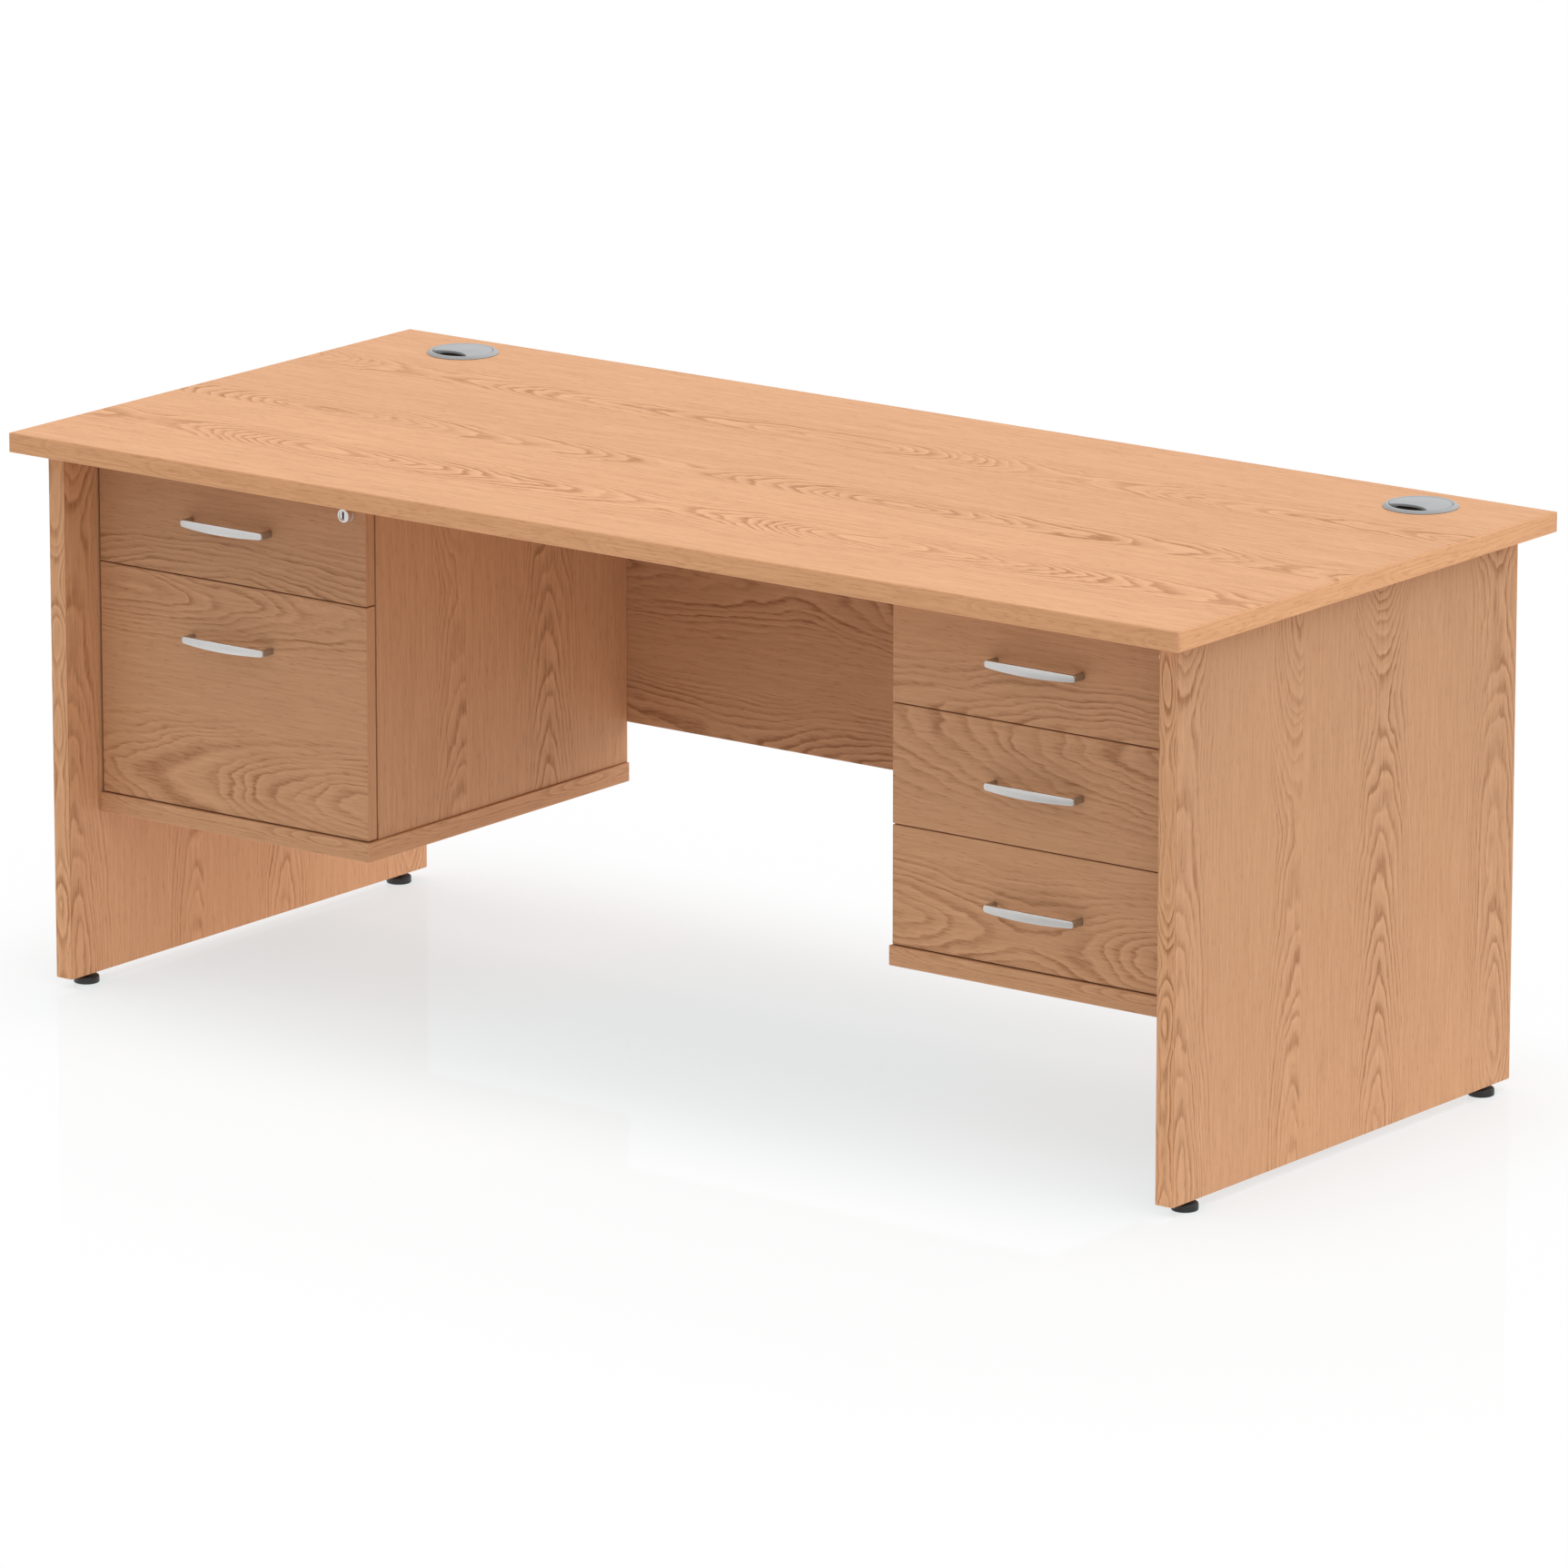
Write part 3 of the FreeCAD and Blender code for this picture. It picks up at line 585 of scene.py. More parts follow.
def moulded(name, colour, roughness, cells, strength):
    """Plastic with a spark-eroded grain and slight unevenness."""
    material, tree, shader, place = new_material(name)
    fine = noise(tree, place, 3.0, cells=cells)
    broad = noise(tree, place, cells=40.0)
    spread = 0.12
    feed(tree, shader, {
        "Base Color": tinted(tree, broad, colour, darkest=0.92, lightest=1.08),
        "Roughness": times(tree, fine, spread, roughness - 0.5 * spread),
        "Normal": bump(tree, fine, strength, distance=0.0001),
    })
    return material


def powder_coat(name, colour):
    """Powder coat with its orange-peel surface."""
    material, tree, shader, place = new_material(name)
    peel = noise(tree, place, cells=520.0)
    scuff = noise(tree, place, 5.0, cells=14.0)
    feed(tree, shader, {
        "Base Color": tinted(tree, scuff, colour, darkest=0.93, lightest=1.07),
        "Roughness": remap(tree, scuff, 0.3, 0.7, 0.42, 0.54, "LINEAR"),
        "Normal": bump(tree, peel, strength=0.15, distance=0.0001),
    })
    return material


def paint(node, material):
    """Give a carried-over CAD node a better material."""
    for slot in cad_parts[node].material_slots:
        slot.material = material


# Shapes that several pieces share

# Outline of a screw head, and the arms and depth of its cross recess, in shares of its radius
HEAD_OUTLINE = ((1.0, 0.0), (1.0, 0.2), (0.9, 0.42), (0.62, 0.56), (0.42, 0.58))
RECESS_CORE = 0.13
RECESS_ARM = 0.27
RECESS_DEPTH = 0.4
HEAD_STEPS = 24

# Distance within which vertices are one
SAME_PLACE = 1e-6


def piece(name, shape, materials, body, replaced=()):
    """A new object at the origin whose mesh is already in place."""
    mesh = bpy.data.meshes.new(name)
    shape.to_mesh(mesh)
    shape.free()
    item = bpy.data.objects.new(name, mesh)
    bpy.context.scene.collection.objects.link(item)
    for material in materials:
        mesh.materials.append(material)
    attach(item, body)
    if replaced:
        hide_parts(*replaced)


def smooth_by_angle(shape, degrees=35.0):
    """Smooth faces, with sharp edges where faces meet at more than an angle."""
    limit = math.radians(degrees)
    for face in shape.faces:
        face.smooth = True
    for edge in shape.edges:
        edge.smooth = len(edge.link_faces) == 2 and edge.calc_face_angle(0.0) < limit


def round_off(shape, geometry, offset, segments, affect="EDGES"):
    """Round edges, or the corners of a flat shape."""
    bmesh.ops.bevel(shape, geom=geometry, offset=offset, offset_type="OFFSET", segments=segments,
                    profile=0.5, affect=affect, material=-1)


def stand(shape, verts, place, outward):
    """Turn what was made along +Z to face outward, and move it to its place."""
    turn = Vector((0, 0, 1)).rotation_difference(Vector(outward)).to_matrix().to_4x4()
    bmesh.ops.transform(shape, matrix=Matrix.Translation(place) @ turn, verts=verts)


def quarter_turn(centre, radii, first, steps=6):
    """Points of a quarter of an ellipse, anticlockwise from an angle in degrees."""
    points = []
    for step in range(steps + 1):
        angle = math.radians(first + 90.0 * step / steps)
        points.append((centre[0] + radii[0] * math.cos(angle), centre[1] + radii[1] * math.sin(angle)))
    return points


def lathe(profile, centre, axis, steps):
    """Turn a profile of (radius, height) points round an axis through a centre."""
    shape = bmesh.new()
    corners = [shape.verts.new((radius, 0.0, height)) for radius, height in profile]
    edges = [shape.edges.new(pair) for pair in zip(corners, corners[1:])]
    bmesh.ops.spin(shape, geom=corners + edges, cent=(0, 0, 0), axis=(0, 0, 1), dvec=(0, 0, 0),
                   angle=math.tau, steps=steps, use_merge=True)
    bmesh.ops.remove_doubles(shape, verts=shape.verts, dist=SAME_PLACE)
    bmesh.ops.recalc_face_normals(shape, faces=shape.faces)
    stand(shape, shape.verts, centre, axis)
    smooth_by_angle(shape)
    return shape


def circle(shape, steps, radius, height):
    """A ring of vertices at a height."""
    ring = bmesh.ops.create_circle(shape, segments=steps, radius=radius)["verts"]
    for vert in ring:
        vert.co.z = height
    return ring


def loop_edges(shape, verts):
    """The edges that join a ring of vertices."""
    ring = set(verts)
    return [edge for edge in shape.edges if edge.verts[0] in ring and edge.verts[1] in ring]


def bridge(shape, first, second):
    bmesh.ops.bridge_loops(shape, edges=loop_edges(shape, first) + loop_edges(shape, second))


def sink(shape, ring, depth):
    """Draw a ring of vertices down and close its end; gives the vertices and edges of that end."""
    made = bmesh.ops.extrude_edge_only(shape, edges=loop_edges(shape, ring))["geom"]
    verts = [item for item in made if isinstance(item, bmesh.types.BMVert)]
    edges = [item for item in made if isinstance(item, bmesh.types.BMEdge)]
    bmesh.ops.translate(shape, verts=verts, vec=(0, 0, -depth))
    bmesh.ops.contextual_create(shape, geom=edges)
    return verts, edges


def pan_head(shape, place, outward, radius):
    """Add a domed screw head with a cross recess, standing on a surface."""
    rings = [circle(shape, HEAD_STEPS, radius * share, radius * rise) for share, rise in HEAD_OUTLINE]
    recess = circle(shape, HEAD_STEPS, radius, radius * HEAD_OUTLINE[-1][1])
    for vert in recess:
        angle = math.atan2(vert.co.y, vert.co.x)
        arm = RECESS_CORE + RECESS_ARM * abs(math.cos(2.0 * angle)) ** 3
        vert.co.x *= arm
        vert.co.y *= arm
    rings.append(recess)
    for first, second in zip(rings, rings[1:]):
        bridge(shape, first, second)
    bottom = sink(shape, recess, RECESS_DEPTH * radius)[0]
    bmesh.ops.contextual_create(shape, geom=loop_edges(shape, rings[0]))
    stand(shape, sum(rings, []) + bottom, place, outward)
    bmesh.ops.recalc_face_normals(shape, faces=shape.faces)


def screw_heads(heads, radius):
    """One shape from a list of the places of screw heads and the ways that they face."""
    shape = bmesh.new()
    for place, outward in heads:
        pan_head(shape, place, outward, radius)
    smooth_by_angle(shape)
    return shape


# Boards


class DESK_OT_boards(bpy.types.Operator):
    """Print oak on the boards and their edging"""

    bl_idname = "desk.boards"
    bl_label = "Oak boards"

    def execute(self, context):
        group = oak_group(context.scene.desk_finish)
        for node, settings in BOARDS.items():
            paint(node, oak(node, group, *settings))
        return {"FINISHED"}


# Steelwork


def runner_screws(name, sizes):
    """The screws that hold a drawer's slides to the two sides of its tray."""
    tray_low, tray_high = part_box(f"{name}_tray")
    low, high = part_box(f"{name}_runner_slides")
    z = 0.5 * (low.z + high.z)
    steel = sizes.runner_steel
    inset = sizes.runner_screw_inset
    heads = []
    for y in (low.y + inset, 0.5 * (low.y + high.y), high.y - inset):
        for x, way in ((tray_low.x - steel, -1), (tray_high.x + steel, 1)):
            heads.append(((x, y, z), (way, 0, 0)))
    return screw_heads(heads, sizes.runner_screw_head)


class DESK_OT_steelwork(bpy.types.Operator):
    """Coat the trays, plate the runners, rails and inserts, and model the runner screws"""

    bl_idname = "desk.steelwork"
    bl_label = "Steelwork"

    def execute(self, context):
        finish = context.scene.desk_finish
        zinc = brushed("zinc_plate", finish.zinc, roughness=0.32, cells=ROLLED_ALONG_Y)
        coat = powder_coat("tray_coat", finish.tray_grey)
        for name in DRAWERS:
            paint(f"{name}_tray", coat)
            paint(f"{name}_runner_slides", zinc)
            paint(f"{name}_runner_middles", zinc)
        for side in SIDES:
            paint(f"{side}_runner_channels", zinc)
            paint(f"{side}_lock_cam", zinc)
        paint("left_filing_file_rails", zinc)
        paint("foot_inserts", zinc)
        screws = brushed("runner_screw_zinc", finish.zinc, roughness=0.30, cells=TUMBLED)
        for name in DRAWERS:
            shape = runner_screws(name, context.scene.desk_sizes)
            piece(f"{name}_runner_screws", shape, (screws,), f"{name}_drawer")
        return {"FINISHED"}


# Handles

# Height of a handle's posts, as a share of its bar's end height
POST_SHARE = 0.96
HANDLE_SCREW_HEAD = 0.0042


def bow_handle(node, sizes):
    """A flat bar that bows out and widens in the middle, on two posts, filling its node's box."""
    low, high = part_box(node)
    centre = 0.5 * (low + high)
    half = 0.5 * (high.x - low.x)
    reach = high.y - low.y
    end_height = sizes.handle_end_height
    shape = bmesh.new()
    upright = Matrix.Rotation(math.pi / 2.0, 4, "X")
    bmesh.ops.create_grid(shape, x_segments=40, y_segments=2, size=1.0, matrix=upright)
    for vert in shape.verts:
        widening = (high.z - low.z - end_height) * (1.0 - vert.co.x ** 2)
        vert.co.z *= 0.5 * (end_height + widening)
        vert.co.x *= half
    corners = [vert for vert in shape.verts if len(vert.link_edges) == 2]
    round_off(shape, corners, sizes.handle_corner, 5, "VERTICES")
    bmesh.ops.solidify(shape, geom=shape.faces[:], thickness=sizes.handle_bar)
    front = min(vert.co.y for vert in shape.verts)
    for vert in shape.verts:
        vert.co.y -= front + reach - sizes.handle_bow * (vert.co.x / half) ** 2
    rims = [edge for edge in shape.edges if edge.calc_face_angle(0.0) > math.radians(60.0)]
    round_off(shape, rims, sizes.handle_arris, 3)
    length = reach - sizes.handle_bow - 0.5 * sizes.handle_bar
    for side in (-1.0, 1.0):
        place = Matrix.Translation((side * (half - 0.5 * sizes.handle_post), -0.5 * length, 0.0))
        shell = Matrix.Diagonal((sizes.handle_post, length, POST_SHARE * end_height, 1.0))
        post = bmesh.ops.create_cube(shape, size=1.0, matrix=place @ shell)["verts"]
        # The posts take the second, darker silver: painted shade
        for face in dict.fromkeys(face for vert in post for face in vert.link_faces):
            face.material_index = 1
        edges = dict.fromkeys(edge for vert in post for edge in vert.link_edges)
        round_off(shape, list(edges), sizes.handle_arris, 2)
    bmesh.ops.recalc_face_normals(shape, faces=shape.faces)
    bmesh.ops.translate(shape, verts=shape.verts, vec=(centre.x, high.y, centre.z))
    smooth_by_angle(shape, 30.0)
    return shape


def handle_screws(name, sizes):
    """The two screws that hold a handle, on the inside of its tray."""
    low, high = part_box(f"{name}_handle")
    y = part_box(f"{name}_tray")[0].y + sizes.tray_wall
    z = 0.5 * (low.z + high.z)
    inset = 0.5 * sizes.handle_post
    heads = [((x, y, z), (0, 1, 0)) for x in (low.x + inset, high.x - inset)]
    return screw_heads(heads, HANDLE_SCREW_HEAD)


class DESK_OT_handles(bpy.types.Operator):
    """Model the bow handles, and the screws that hold them from inside the trays"""

    bl_idname = "desk.handles"
    bl_label = "Handles"

    def execute(self, context):
        finish = context.scene.desk_finish
        sizes = context.scene.desk_sizes
        silver = brushed("satin_silver", finish.silver, roughness=0.30, cells=DRAWN_ALONG_X)
        # A darker silver for the posts: painted shade
        shaded_silver = brushed("shaded_post_silver", finish.shaded_post_silver, roughness=0.36, cells=DRAWN_ALONG_Y)
        zinc = brushed("screw_zinc", finish.zinc, roughness=0.34, cells=TUMBLED)
        for name in DRAWERS:
            node = f"{name}_handle"
            body = f"{name}_drawer"
            shape = bow_handle(node, sizes)
            piece(f"{name}_bow_handle", shape, (silver, shaded_silver), body, (node,))
            shape = handle_screws(name, sizes)
            piece(f"{name}_handle_screws", shape, (zinc,), body)
        return {"FINISHED"}


# Locks

# Radii of a lock's bore, of its body and of the flat of its head, in shares of its head's radius
BORE_SHARE = 0.69
BODY_SHARE = 0.84
FLAT_SHARE = 0.86

# Rounding of a lock's head, the groove round it, and how far a plug's face stands out from its rim
LOCK_ROUND = 0.0012
LOCK_GROOVE = 0.0003
PLUG_CROWN = 0.0003

# A keyway has flat sides: a circle is stretched by this much and cut to its width
KEYWAY_STRETCH = 4.0
KEYWAY_HALF_WIDTH = 0.0015
KEYWAY_HALF_HEIGHT = 0.0048
KEYWAY_DEPTH = 0.006
PLUG_STEPS = 48


def lock_barrel(node):
    """The turned case of a cam lock: a rounded head with a groove, and a body through the front."""
    low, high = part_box(node)
    centre = 0.5 * (low + high)
    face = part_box("left_top_front")[0].y
    head = face - low.y
    tail = face - high.y
    radius = 0.5 * (high.x - low.x)
    bore = radius * BORE_SHARE
    body = radius * BODY_SHARE
    flat = radius * FLAT_SHARE
    groove = LOCK_GROOVE
    profile = [(bore, tail), (bore, head - 0.0007), (bore + 0.0004, head - 0.0002)]
    profile += reversed(quarter_turn((flat, head - LOCK_ROUND), (radius - flat, LOCK_ROUND), 0.0))
    profile += [(radius, 8.0 * groove), (radius - groove, 7.0 * groove)]
    profile += [(radius - groove, 5.0 * groove), (radius, 4.0 * groove)]
    profile += [(radius, 0.0), (body, 0.0), (body, tail), (bore, tail)]
    return lathe(profile, (centre.x, face, centre.z), (0, -1, 0), 64)


def lock_plug(node):
    """The turning plug with a keyway in its face."""
    low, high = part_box(node)
    centre = 0.5 * (low + high)
    radius = 0.5 * (high.x - low.x)
    shape = bmesh.new()
    rim = circle(shape, PLUG_STEPS, radius, 0.0)
    crown = circle(shape, PLUG_STEPS, radius * FLAT_SHARE, PLUG_CROWN)
    keyway = circle(shape, PLUG_STEPS, 1.0, PLUG_CROWN)
    for vert in keyway:
        vert.co.x = KEYWAY_HALF_WIDTH * max(-1.0, min(1.0, KEYWAY_STRETCH * vert.co.x))
        vert.co.y *= KEYWAY_HALF_HEIGHT
    bridge(shape, rim, crown)
    bridge(shape, crown, keyway)
    sink(shape, rim, high.y - low.y)
    floor = sink(shape, keyway, KEYWAY_DEPTH)[1]
    # The keyway's floor takes the near-black second material: painted shade
    for edge in floor:
        for face in edge.link_faces:
            face.material_index = 1
    bmesh.ops.recalc_face_normals(shape, faces=shape.faces)
    stand(shape, shape.verts, (centre.x, low.y + PLUG_CROWN, centre.z), (0, -1, 0))
    smooth_by_angle(shape)
    return shape


class DESK_OT_locks(bpy.types.Operator):
    """Model the lock cases and their turning plugs"""

    bl_idname = "desk.locks"
    bl_label = "Locks"

    def execute(self, context):
        finish = context.scene.desk_finish
        nickel = brushed("bright_nickel", finish.nickel, roughness=0.40, cells=POLISHED)
        # Near-black for the keyway's floor: painted shade
        wards = moulded("keyway_painted_shade", finish.keyway_shade_black, roughness=0.6, cells=1500.0, strength=0.1)
        for side in SIDES:
            node = f"{side}_lock_barrel"
            case = lock_barrel(node)
            piece(f"{side}_lock_case", case, (nickel,), f"{side}_top_drawer", (node,))
            node = f"{side}_lock_plug"
            plug = lock_plug(node)
            piece(f"{side}_key_plug", plug, (nickel, wards), f"{side}_lock", (node,))
        return {"FINISHED"}


# Cable ports

# Easing of the edges of a port's flange, and rounding of the upper edges of its cap
PORT_EASING = 0.0005
CAP_ROUNDING = 0.0006


def port_liner(node, sizes):
    """The turned sleeve of a cable port: a sloping flange, a seat for the cap and a bore."""
    low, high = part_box(node)
    centre = 0.5 * (low + high)
    radius = 0.5 * (high.x - low.x)
    top = high.z
    board_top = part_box("desktop_board")[1].z
    crest = radius - (top - board_top)
    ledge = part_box(node.replace("liner", "cap"))[1].z - sizes.cap_thickness
    easing = PORT_EASING
    near = 0.6 * easing
    far = 0.8 * easing
    bore = sizes.port_bore
    seat = sizes.port_seat
    sleeve = sizes.port_sleeve
    profile = [(bore, low.z), (bore, ledge), (seat, ledge), (seat, top - easing), (seat + easing, top)]
    profile += [(crest - near, top), (crest + near, top - far)]
    profile += [(radius - far, board_top + easing + far), (radius, board_top + easing)]
    profile += [(radius, board_top), (sleeve, board_top), (sleeve, low.z), (bore, low.z)]
    shape = lathe(profile, (centre.x, centre.y, 0.0), (0, 0, 1), 128)
    # Faces below the cap's seat take the near-black second material: painted shade down the bore
    for face in shape.faces:
        face.material_index = 1 if face.calc_center_median().z < ledge - 0.0001 else 0
    return shape


def port_cap(node):
    """The cap as it is cut, with its upper edges rounded."""
    shape = bmesh.new()
    shape.from_mesh(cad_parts[node].data)
    bmesh.ops.remove_doubles(shape, verts=shape.verts, dist=SAME_PLACE)
    bmesh.ops.dissolve_limit(shape, angle_limit=math.radians(1.0), verts=shape.verts, edges=shape.edges)
    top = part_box(node)[1].z - 10.0 * SAME_PLACE
    rims = [edge for edge in shape.edges if min(vert.co.z for vert in edge.verts) > top]
    round_off(shape, rims, CAP_ROUNDING, 3)
    smooth_by_angle(shape)
    return shape


class DESK_OT_ports(bpy.types.Operator):
    """Model the cable port liners and their caps"""

    bl_idname = "desk.ports"
    bl_label = "Cable ports"

    def execute(self, context):
        finish = context.scene.desk_finish
        sizes = context.scene.desk_sizes
        plastic = moulded("port_moulding", finish.port_grey, roughness=0.45, cells=1800.0, strength=0.06)
        # Near-black for the inside of the bore: painted shade
        sleeve = moulded("port_sleeve", finish.sleeve_shade_grey, roughness=0.6, cells=1800.0, strength=0.06)
        for side in SIDES:
            node = f"{side}_cable_port_liner"
            shape = port_liner(node, sizes)
            piece(f"{side}_port_ring", shape, (plastic, sleeve), "desk", (node,))
            node = f"{side}_cable_port_cap"
            shape = port_cap(node)
            piece(f"{side}_port_cap", shape, (plastic,), f"{side}_cable_cap", (node,))
        return {"FINISHED"}


# Feet

# A stud's thread, with the share of its pitch where it is deepest, and the plain tip of the stud
THREAD_PITCH = 0.00125
THREAD_DEPTH = 0.0006
THREAD_ROOT = 0.45
STUD_TIP = 0.001
STUD_TIP_EASING = 0.0008


def moulded_foot(node, sizes):
    """A levelling foot: a pad with rounded edges on a threaded stud."""
    low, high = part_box(node)
    centre = 0.5 * (low + high)
    radius = 0.5 * (high.x - low.x)
    pad = sizes.foot_pad_height
    sole = sizes.foot_sole
    shoulder = sizes.foot_shoulder
    stud = sizes.foot_stud
    pitch = THREAD_PITCH
    profile = [(0.0, low.z)]
    profile += quarter_turn((radius - sole, low.z + sole), (sole, sole), -90.0)
    profile += quarter_turn((radius - shoulder, pad - shoulder), (shoulder, shoulder), 0.0)
    profile.append((stud, pad))
    for turn in range(int((high.z - STUD_TIP - pad) / pitch)):
        base = pad + pitch * turn
        profile += [(stud - THREAD_DEPTH, base + THREAD_ROOT * pitch), (stud, base + pitch)]
    profile += [(stud - STUD_TIP_EASING, high.z), (0.0, high.z)]
    return lathe(profile, (centre.x, centre.y, 0.0), (0, 0, 1), 64)


class DESK_OT_feet(bpy.types.Operator):
    """Model the levelling feet"""

    bl_idname = "desk.feet"
    bl_label = "Feet"

    def execute(self, context):
        finish = context.scene.desk_finish
        plastic = moulded("foot_moulding", finish.foot_black, roughness=0.45, cells=1500.0, strength=0.12)
        for node in FEET:
            shape = moulded_foot(node, context.scene.desk_sizes)
            piece(f"{node}_moulding", shape, (plastic,), f"{node}_leveller", (node,))
        return {"FINISHED"}


# Fixings

# Radius of the cam fittings' heads, and their distances from the ends and edges of the panels
CAM_HEAD = 0.0075
CAM_INSET = 0.034
CAM_RISE = 0.06
PANEL_CAM_INSET = 0.045


def modesty_cams():
    """The cam fittings on the back of the modesty panel."""
    low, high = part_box("modesty_panel")
    heads = []
    for x in (low.x + CAM_INSET, high.x - CAM_INSET):
        for z in (low.z + CAM_RISE, high.z - CAM_RISE):
            heads.append(((x, high.y, z), (0, 1, 0)))
    return screw_heads(heads, CAM_HEAD)


def panel_cam(side):
    """The cam fitting on the inner face of an end panel, behind the modesty panel."""
    low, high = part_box(f"{side}_end_panel")
    inner = high.x if side == "left" else low.x
    inward = 1 if side == "left" else -1
    place = (inner, high.y - PANEL_CAM_INSET, high.z - CAM_INSET)
    return screw_heads([(place, (inward, 0, 0))], CAM_HEAD)


class DESK_OT_fixings(bpy.types.Operator):
    """Model the cam fittings that hold the modesty panel and the end panels"""

    bl_idname = "desk.fixings"
    bl_label = "Fixings"

    def execute(self, context):
        zinc = brushed("cam_zinc", context.scene.desk_finish.zinc, roughness=0.36, cells=TUMBLED)
        piece("modesty_cams", modesty_cams(), (zinc,), "desk")
        for side in SIDES:
            piece(f"{side}_panel_cam", panel_cam(side), (zinc,), "desk")
        return {"FINISHED"}


# Stage

PLAIN_WHITE = (1.0, 1.0, 1.0)
FLOOR_HALF = 60.0

# Half the length and depth of the floor under the desk
UNDER_DESK = (0.82, 0.25)

# The shaded floor: where it turns plain white, its matt and its glow, and its lean to the front
SHADOW_FADE = 0.41
SHADOW_MATT = (0.50, 0.38, 0.35)
SHADOW_GLOW = (0.515, 0.628, 0.657)
SHADOW_LEAN = math.radians(28.0)

# The floor as the desk sees it: its glow far off and what is added near the desk, until it fades
BOUNCE_MATT = (0.34, 0.34, 0.34)
BOUNCE_FAR = 0.35
BOUNCE_NEAR = 0.49
BOUNCE_FADE = 1.6

# Glow that metal misses: where along the desk it starts and is full, and its change there
DIMMING = (-1.2, 0.4, 0.0, -0.32)

# The mirror image in the floor
POLISH = 0.045
POLISH_FADE = 1.3
POLISH_ROUGHNESS = 0.03

SENSOR_WIDTH = 36.0
CAMERA_SIGHT = 200.0


def glowing_white(tree, matt, glow, strength=1.0, lean=0.0):
    """A matt white that also glows, so that a shadow on it stays light; lean turns it to the front."""
    given = {"Color": rgba(matt)}
    if lean:
        given["Normal"] = vector(tree, 0.0, -math.sin(lean), math.cos(lean))
    plain = add_node(tree, "BsdfDiffuse", given)[0]
    white = add_node(tree, "Emission", {"Color": rgba(glow), "Strength": strength})[0]
    return add_node(tree, "AddShader", {0: plain, 1: white})[0]


def near_desk(tree, place, fade):
    """1 under the desk, falling to 0 where it has faded."""
    away = []
    for axis, reach in zip("XY", UNDER_DESK):
        past = sums(tree, "SUBTRACT", sums(tree, "ABSOLUTE", place[axis]), reach)
        past = sums(tree, "MAXIMUM", past, 0.0)
        away.append(times(tree, past, past))
    distance = sums(tree, "SQRT", sums(tree, "ADD", away[0], away[1]))
    return remap(tree, distance, 0.0, fade, 1.0, 0.0)


def floor_white():
    """White that keeps the shadow and a trace of the mirror image, and lights the desk from below."""
    material = bpy.data.materials.new("floor_white")
    material.use_nodes = True
    tree = material.node_tree
    tree.nodes.clear()
    place = separate(tree, add_node(tree, "TexCoord")["Object"])
    path = add_node(tree, "LightPath")

    # What the camera sees: the shaded floor by the desk, then plain white
    shaded = glowing_white(tree, SHADOW_MATT, SHADOW_GLOW, lean=SHADOW_LEAN)
    plain = add_node(tree, "Emission")[0]
    seen = mix_shaders(tree, near_desk(tree, place, SHADOW_FADE), plain, shaded)

    # What the desk sees: a white that is brighter near it, and less bright in metal on the right
    bounce = times(tree, near_desk(tree, place, BOUNCE_FADE), BOUNCE_NEAR, BOUNCE_FAR)
    dimmer = remap(tree, place["X"], *DIMMING)
    bounce = times(tree, path["Is Glossy Ray"], dimmer, bounce)
    unseen = glowing_white(tree, BOUNCE_MATT, PLAIN_WHITE, bounce)
    white = mix_shaders(tree, path["Is Camera Ray"], unseen, seen)

    # The mirror image
    gloss = add_node(tree, "BsdfGlossy", {"Roughness": POLISH_ROUGHNESS})[0]
    polish = times(tree, near_desk(tree, place, POLISH_FADE), POLISH)
    add_node(tree, "OutputMaterial", {"Surface": mix_shaders(tree, polish, white, gloss)})
    return material


def lay_floor():
    shape = bmesh.new()
    bmesh.ops.create_grid(shape, x_segments=1, y_segments=1, size=FLOOR_HALF)
    mesh = bpy.data.meshes.new("floor")
    shape.to_mesh(mesh)
    shape.free()
    mesh.materials.append(floor_white())
    floor = bpy.data.objects.new("floor", mesh)
    bpy.context.scene.collection.objects.link(floor)


def light_studio(settings):
    """A soft sky, brightest from above and behind; the camera and reflections see plain white."""
    world = bpy.data.worlds.new("studio")
    bpy.context.scene.world = world
    world.use_nodes = True
    tree = world.node_tree
    tree.nodes.clear()
    towards = separate(tree, add_node(tree, "TexCoord")["Generated"])
    level = settings.sky
    for axis, strength in zip("XYZ", (settings.right, settings.behind, settings.overhead)):
        facing = sums(tree, "MAXIMUM", towards[axis], 0.0)
        level = times(tree, facing, strength, level)
    path = add_node(tree, "LightPath")
    shown = sums(tree, "MAXIMUM", path["Is Camera Ray"], path["Is Glossy Ray"])
    shown = sums(tree, "MAXIMUM", shown, path["Is Transmission Ray"])
    given = {"Color": rgba(PLAIN_WHITE), "Strength": swap(tree, shown, level, 1.0)}
    light = add_node(tree, "Background", given)[0]
    add_node(tree, "OutputWorld", {"Surface": light})


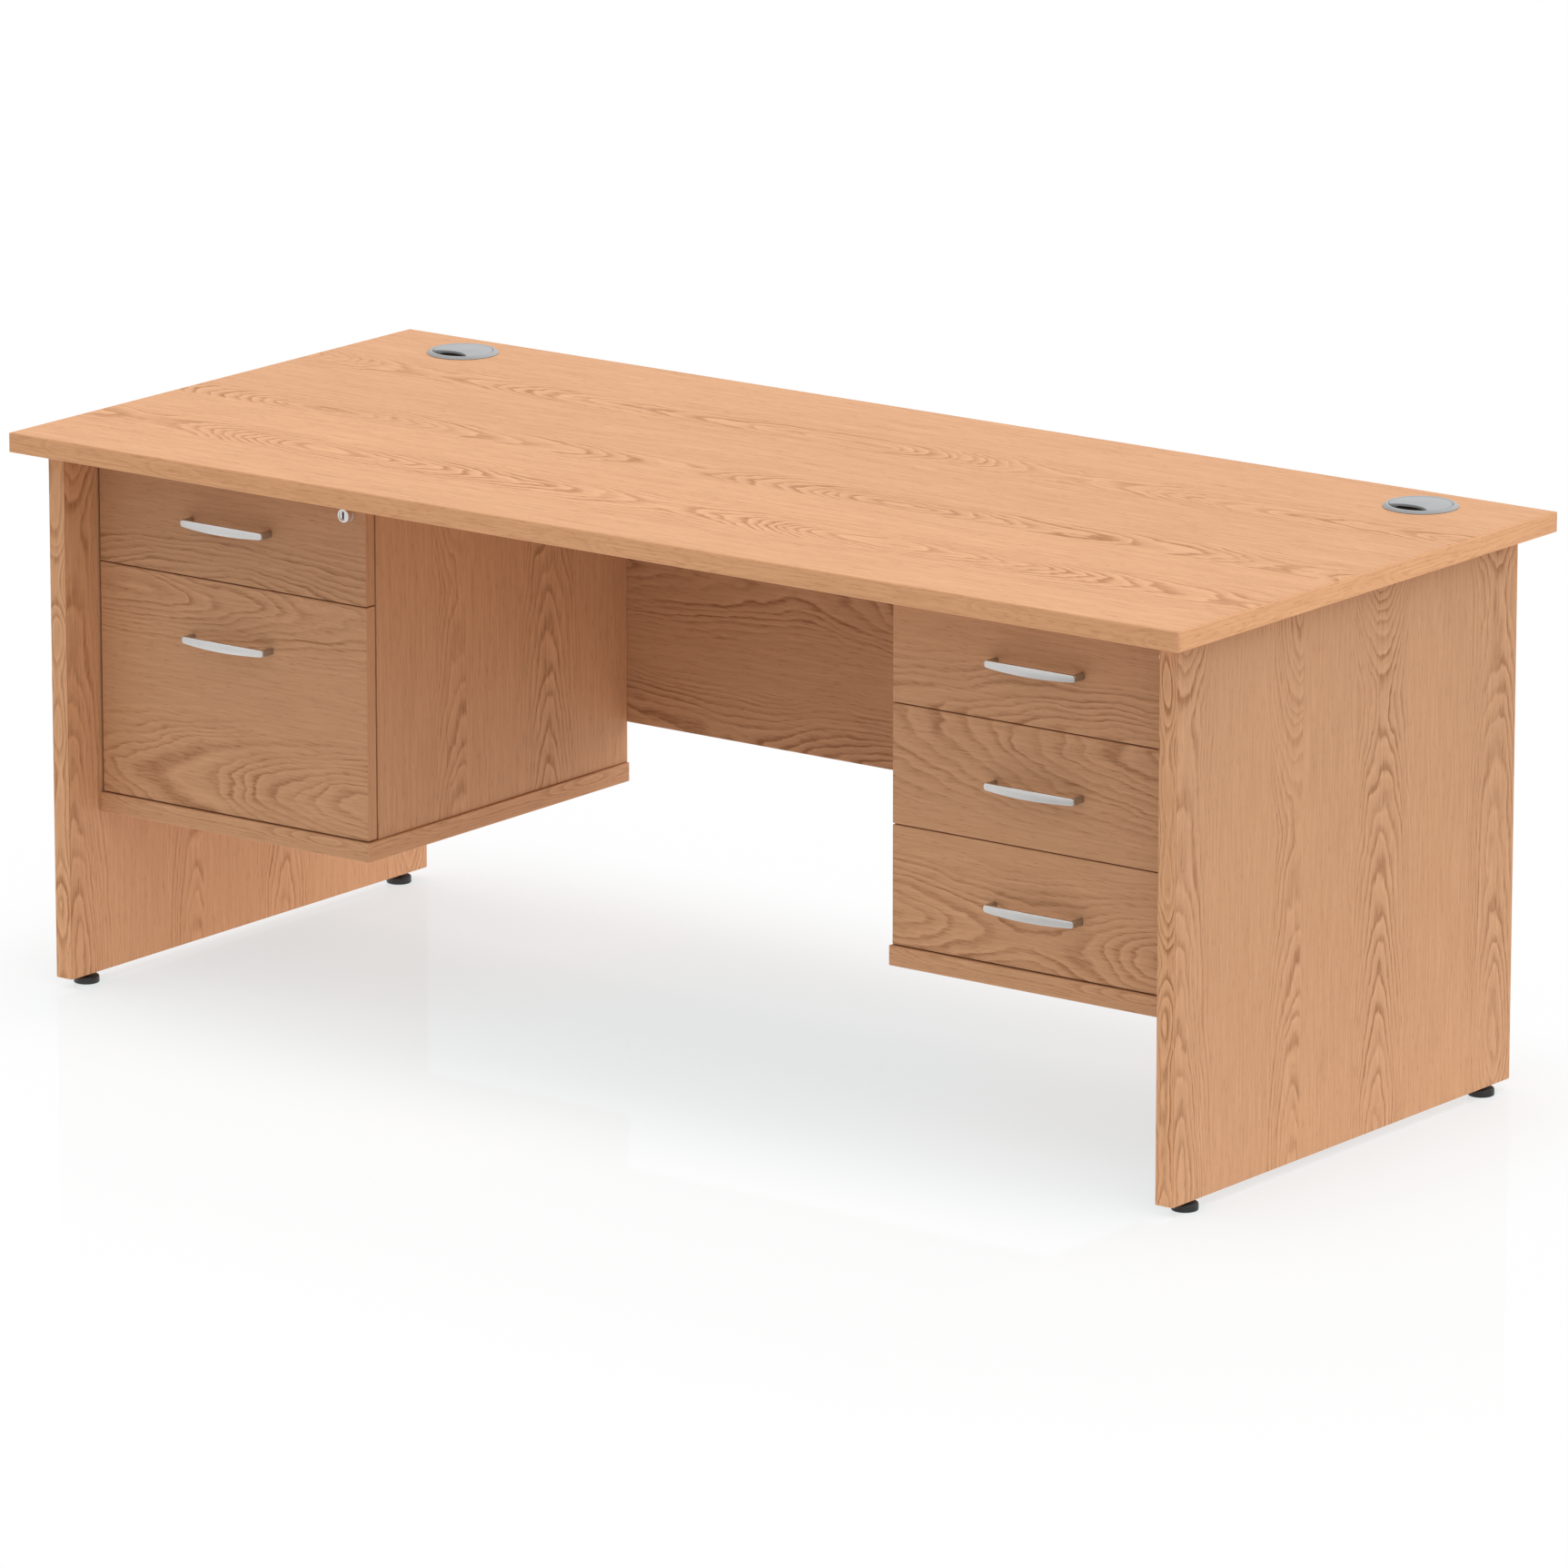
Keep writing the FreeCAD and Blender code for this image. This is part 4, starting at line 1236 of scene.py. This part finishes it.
def place_camera(settings):
    data = bpy.data.cameras.new("camera")
    data.lens = settings.lens
    data.sensor_width = SENSOR_WIDTH
    data.clip_end = CAMERA_SIGHT
    camera = bpy.data.objects.new("camera", data)
    bpy.context.scene.collection.objects.link(camera)
    flat = math.cos(settings.elevation)
    x = math.sin(settings.azimuth) * flat
    y = -math.cos(settings.azimuth) * flat
    back = Vector((x, y, math.sin(settings.elevation)))
    camera.rotation_euler = back.to_track_quat("Z", "Y").to_euler()
    camera.location = settings.camera_place
    bpy.context.scene.camera = camera


class DESK_OT_stage(bpy.types.Operator):
    """Set the floor, the studio light and the camera"""

    bl_idname = "desk.stage"
    bl_label = "Stage"

    def execute(self, context):
        settings = context.scene.desk_view
        lay_floor()
        light_studio(settings)
        place_camera(settings)
        context.scene.view_settings.view_transform = "Standard"
        return {"FINISHED"}


# Add-on

OPERATORS = (
    DESK_OT_boards,
    DESK_OT_steelwork,
    DESK_OT_handles,
    DESK_OT_locks,
    DESK_OT_ports,
    DESK_OT_feet,
    DESK_OT_fixings,
    DESK_OT_stage,
)


class DESK_PT_panel(bpy.types.Panel):
    """Lists the desk's finishes and the steps that dress it"""

    bl_idname = "DESK_PT_panel"
    bl_label = "Desk"
    bl_space_type = "VIEW_3D"
    bl_region_type = "UI"
    bl_category = "Desk"

    def draw(self, context):
        scene = context.scene
        for group in (scene.desk_finish, scene.desk_sizes, scene.desk_view):
            for name in group.__annotations__:
                self.layout.prop(group, name)
        for operator in OPERATORS:
            self.layout.operator(operator.bl_idname)


CLASSES = (DeskFinish, DeskSizes, DeskView) + OPERATORS + (DESK_PT_panel,)


def register():
    for item in CLASSES:
        bpy.utils.register_class(item)
    bpy.types.Scene.desk_finish = bpy.props.PointerProperty(type=DeskFinish)
    bpy.types.Scene.desk_sizes = bpy.props.PointerProperty(type=DeskSizes)
    bpy.types.Scene.desk_view = bpy.props.PointerProperty(type=DeskView)


def unregister():
    del bpy.types.Scene.desk_view
    del bpy.types.Scene.desk_sizes
    del bpy.types.Scene.desk_finish
    for item in reversed(CLASSES):
        bpy.utils.unregister_class(item)


def main():
    register()
    bpy.ops.desk.boards()
    bpy.ops.desk.steelwork()
    bpy.ops.desk.handles()
    bpy.ops.desk.locks()
    bpy.ops.desk.ports()
    bpy.ops.desk.feet()
    bpy.ops.desk.fixings()
    bpy.ops.desk.stage()


if __name__ == "__main__":
    main()
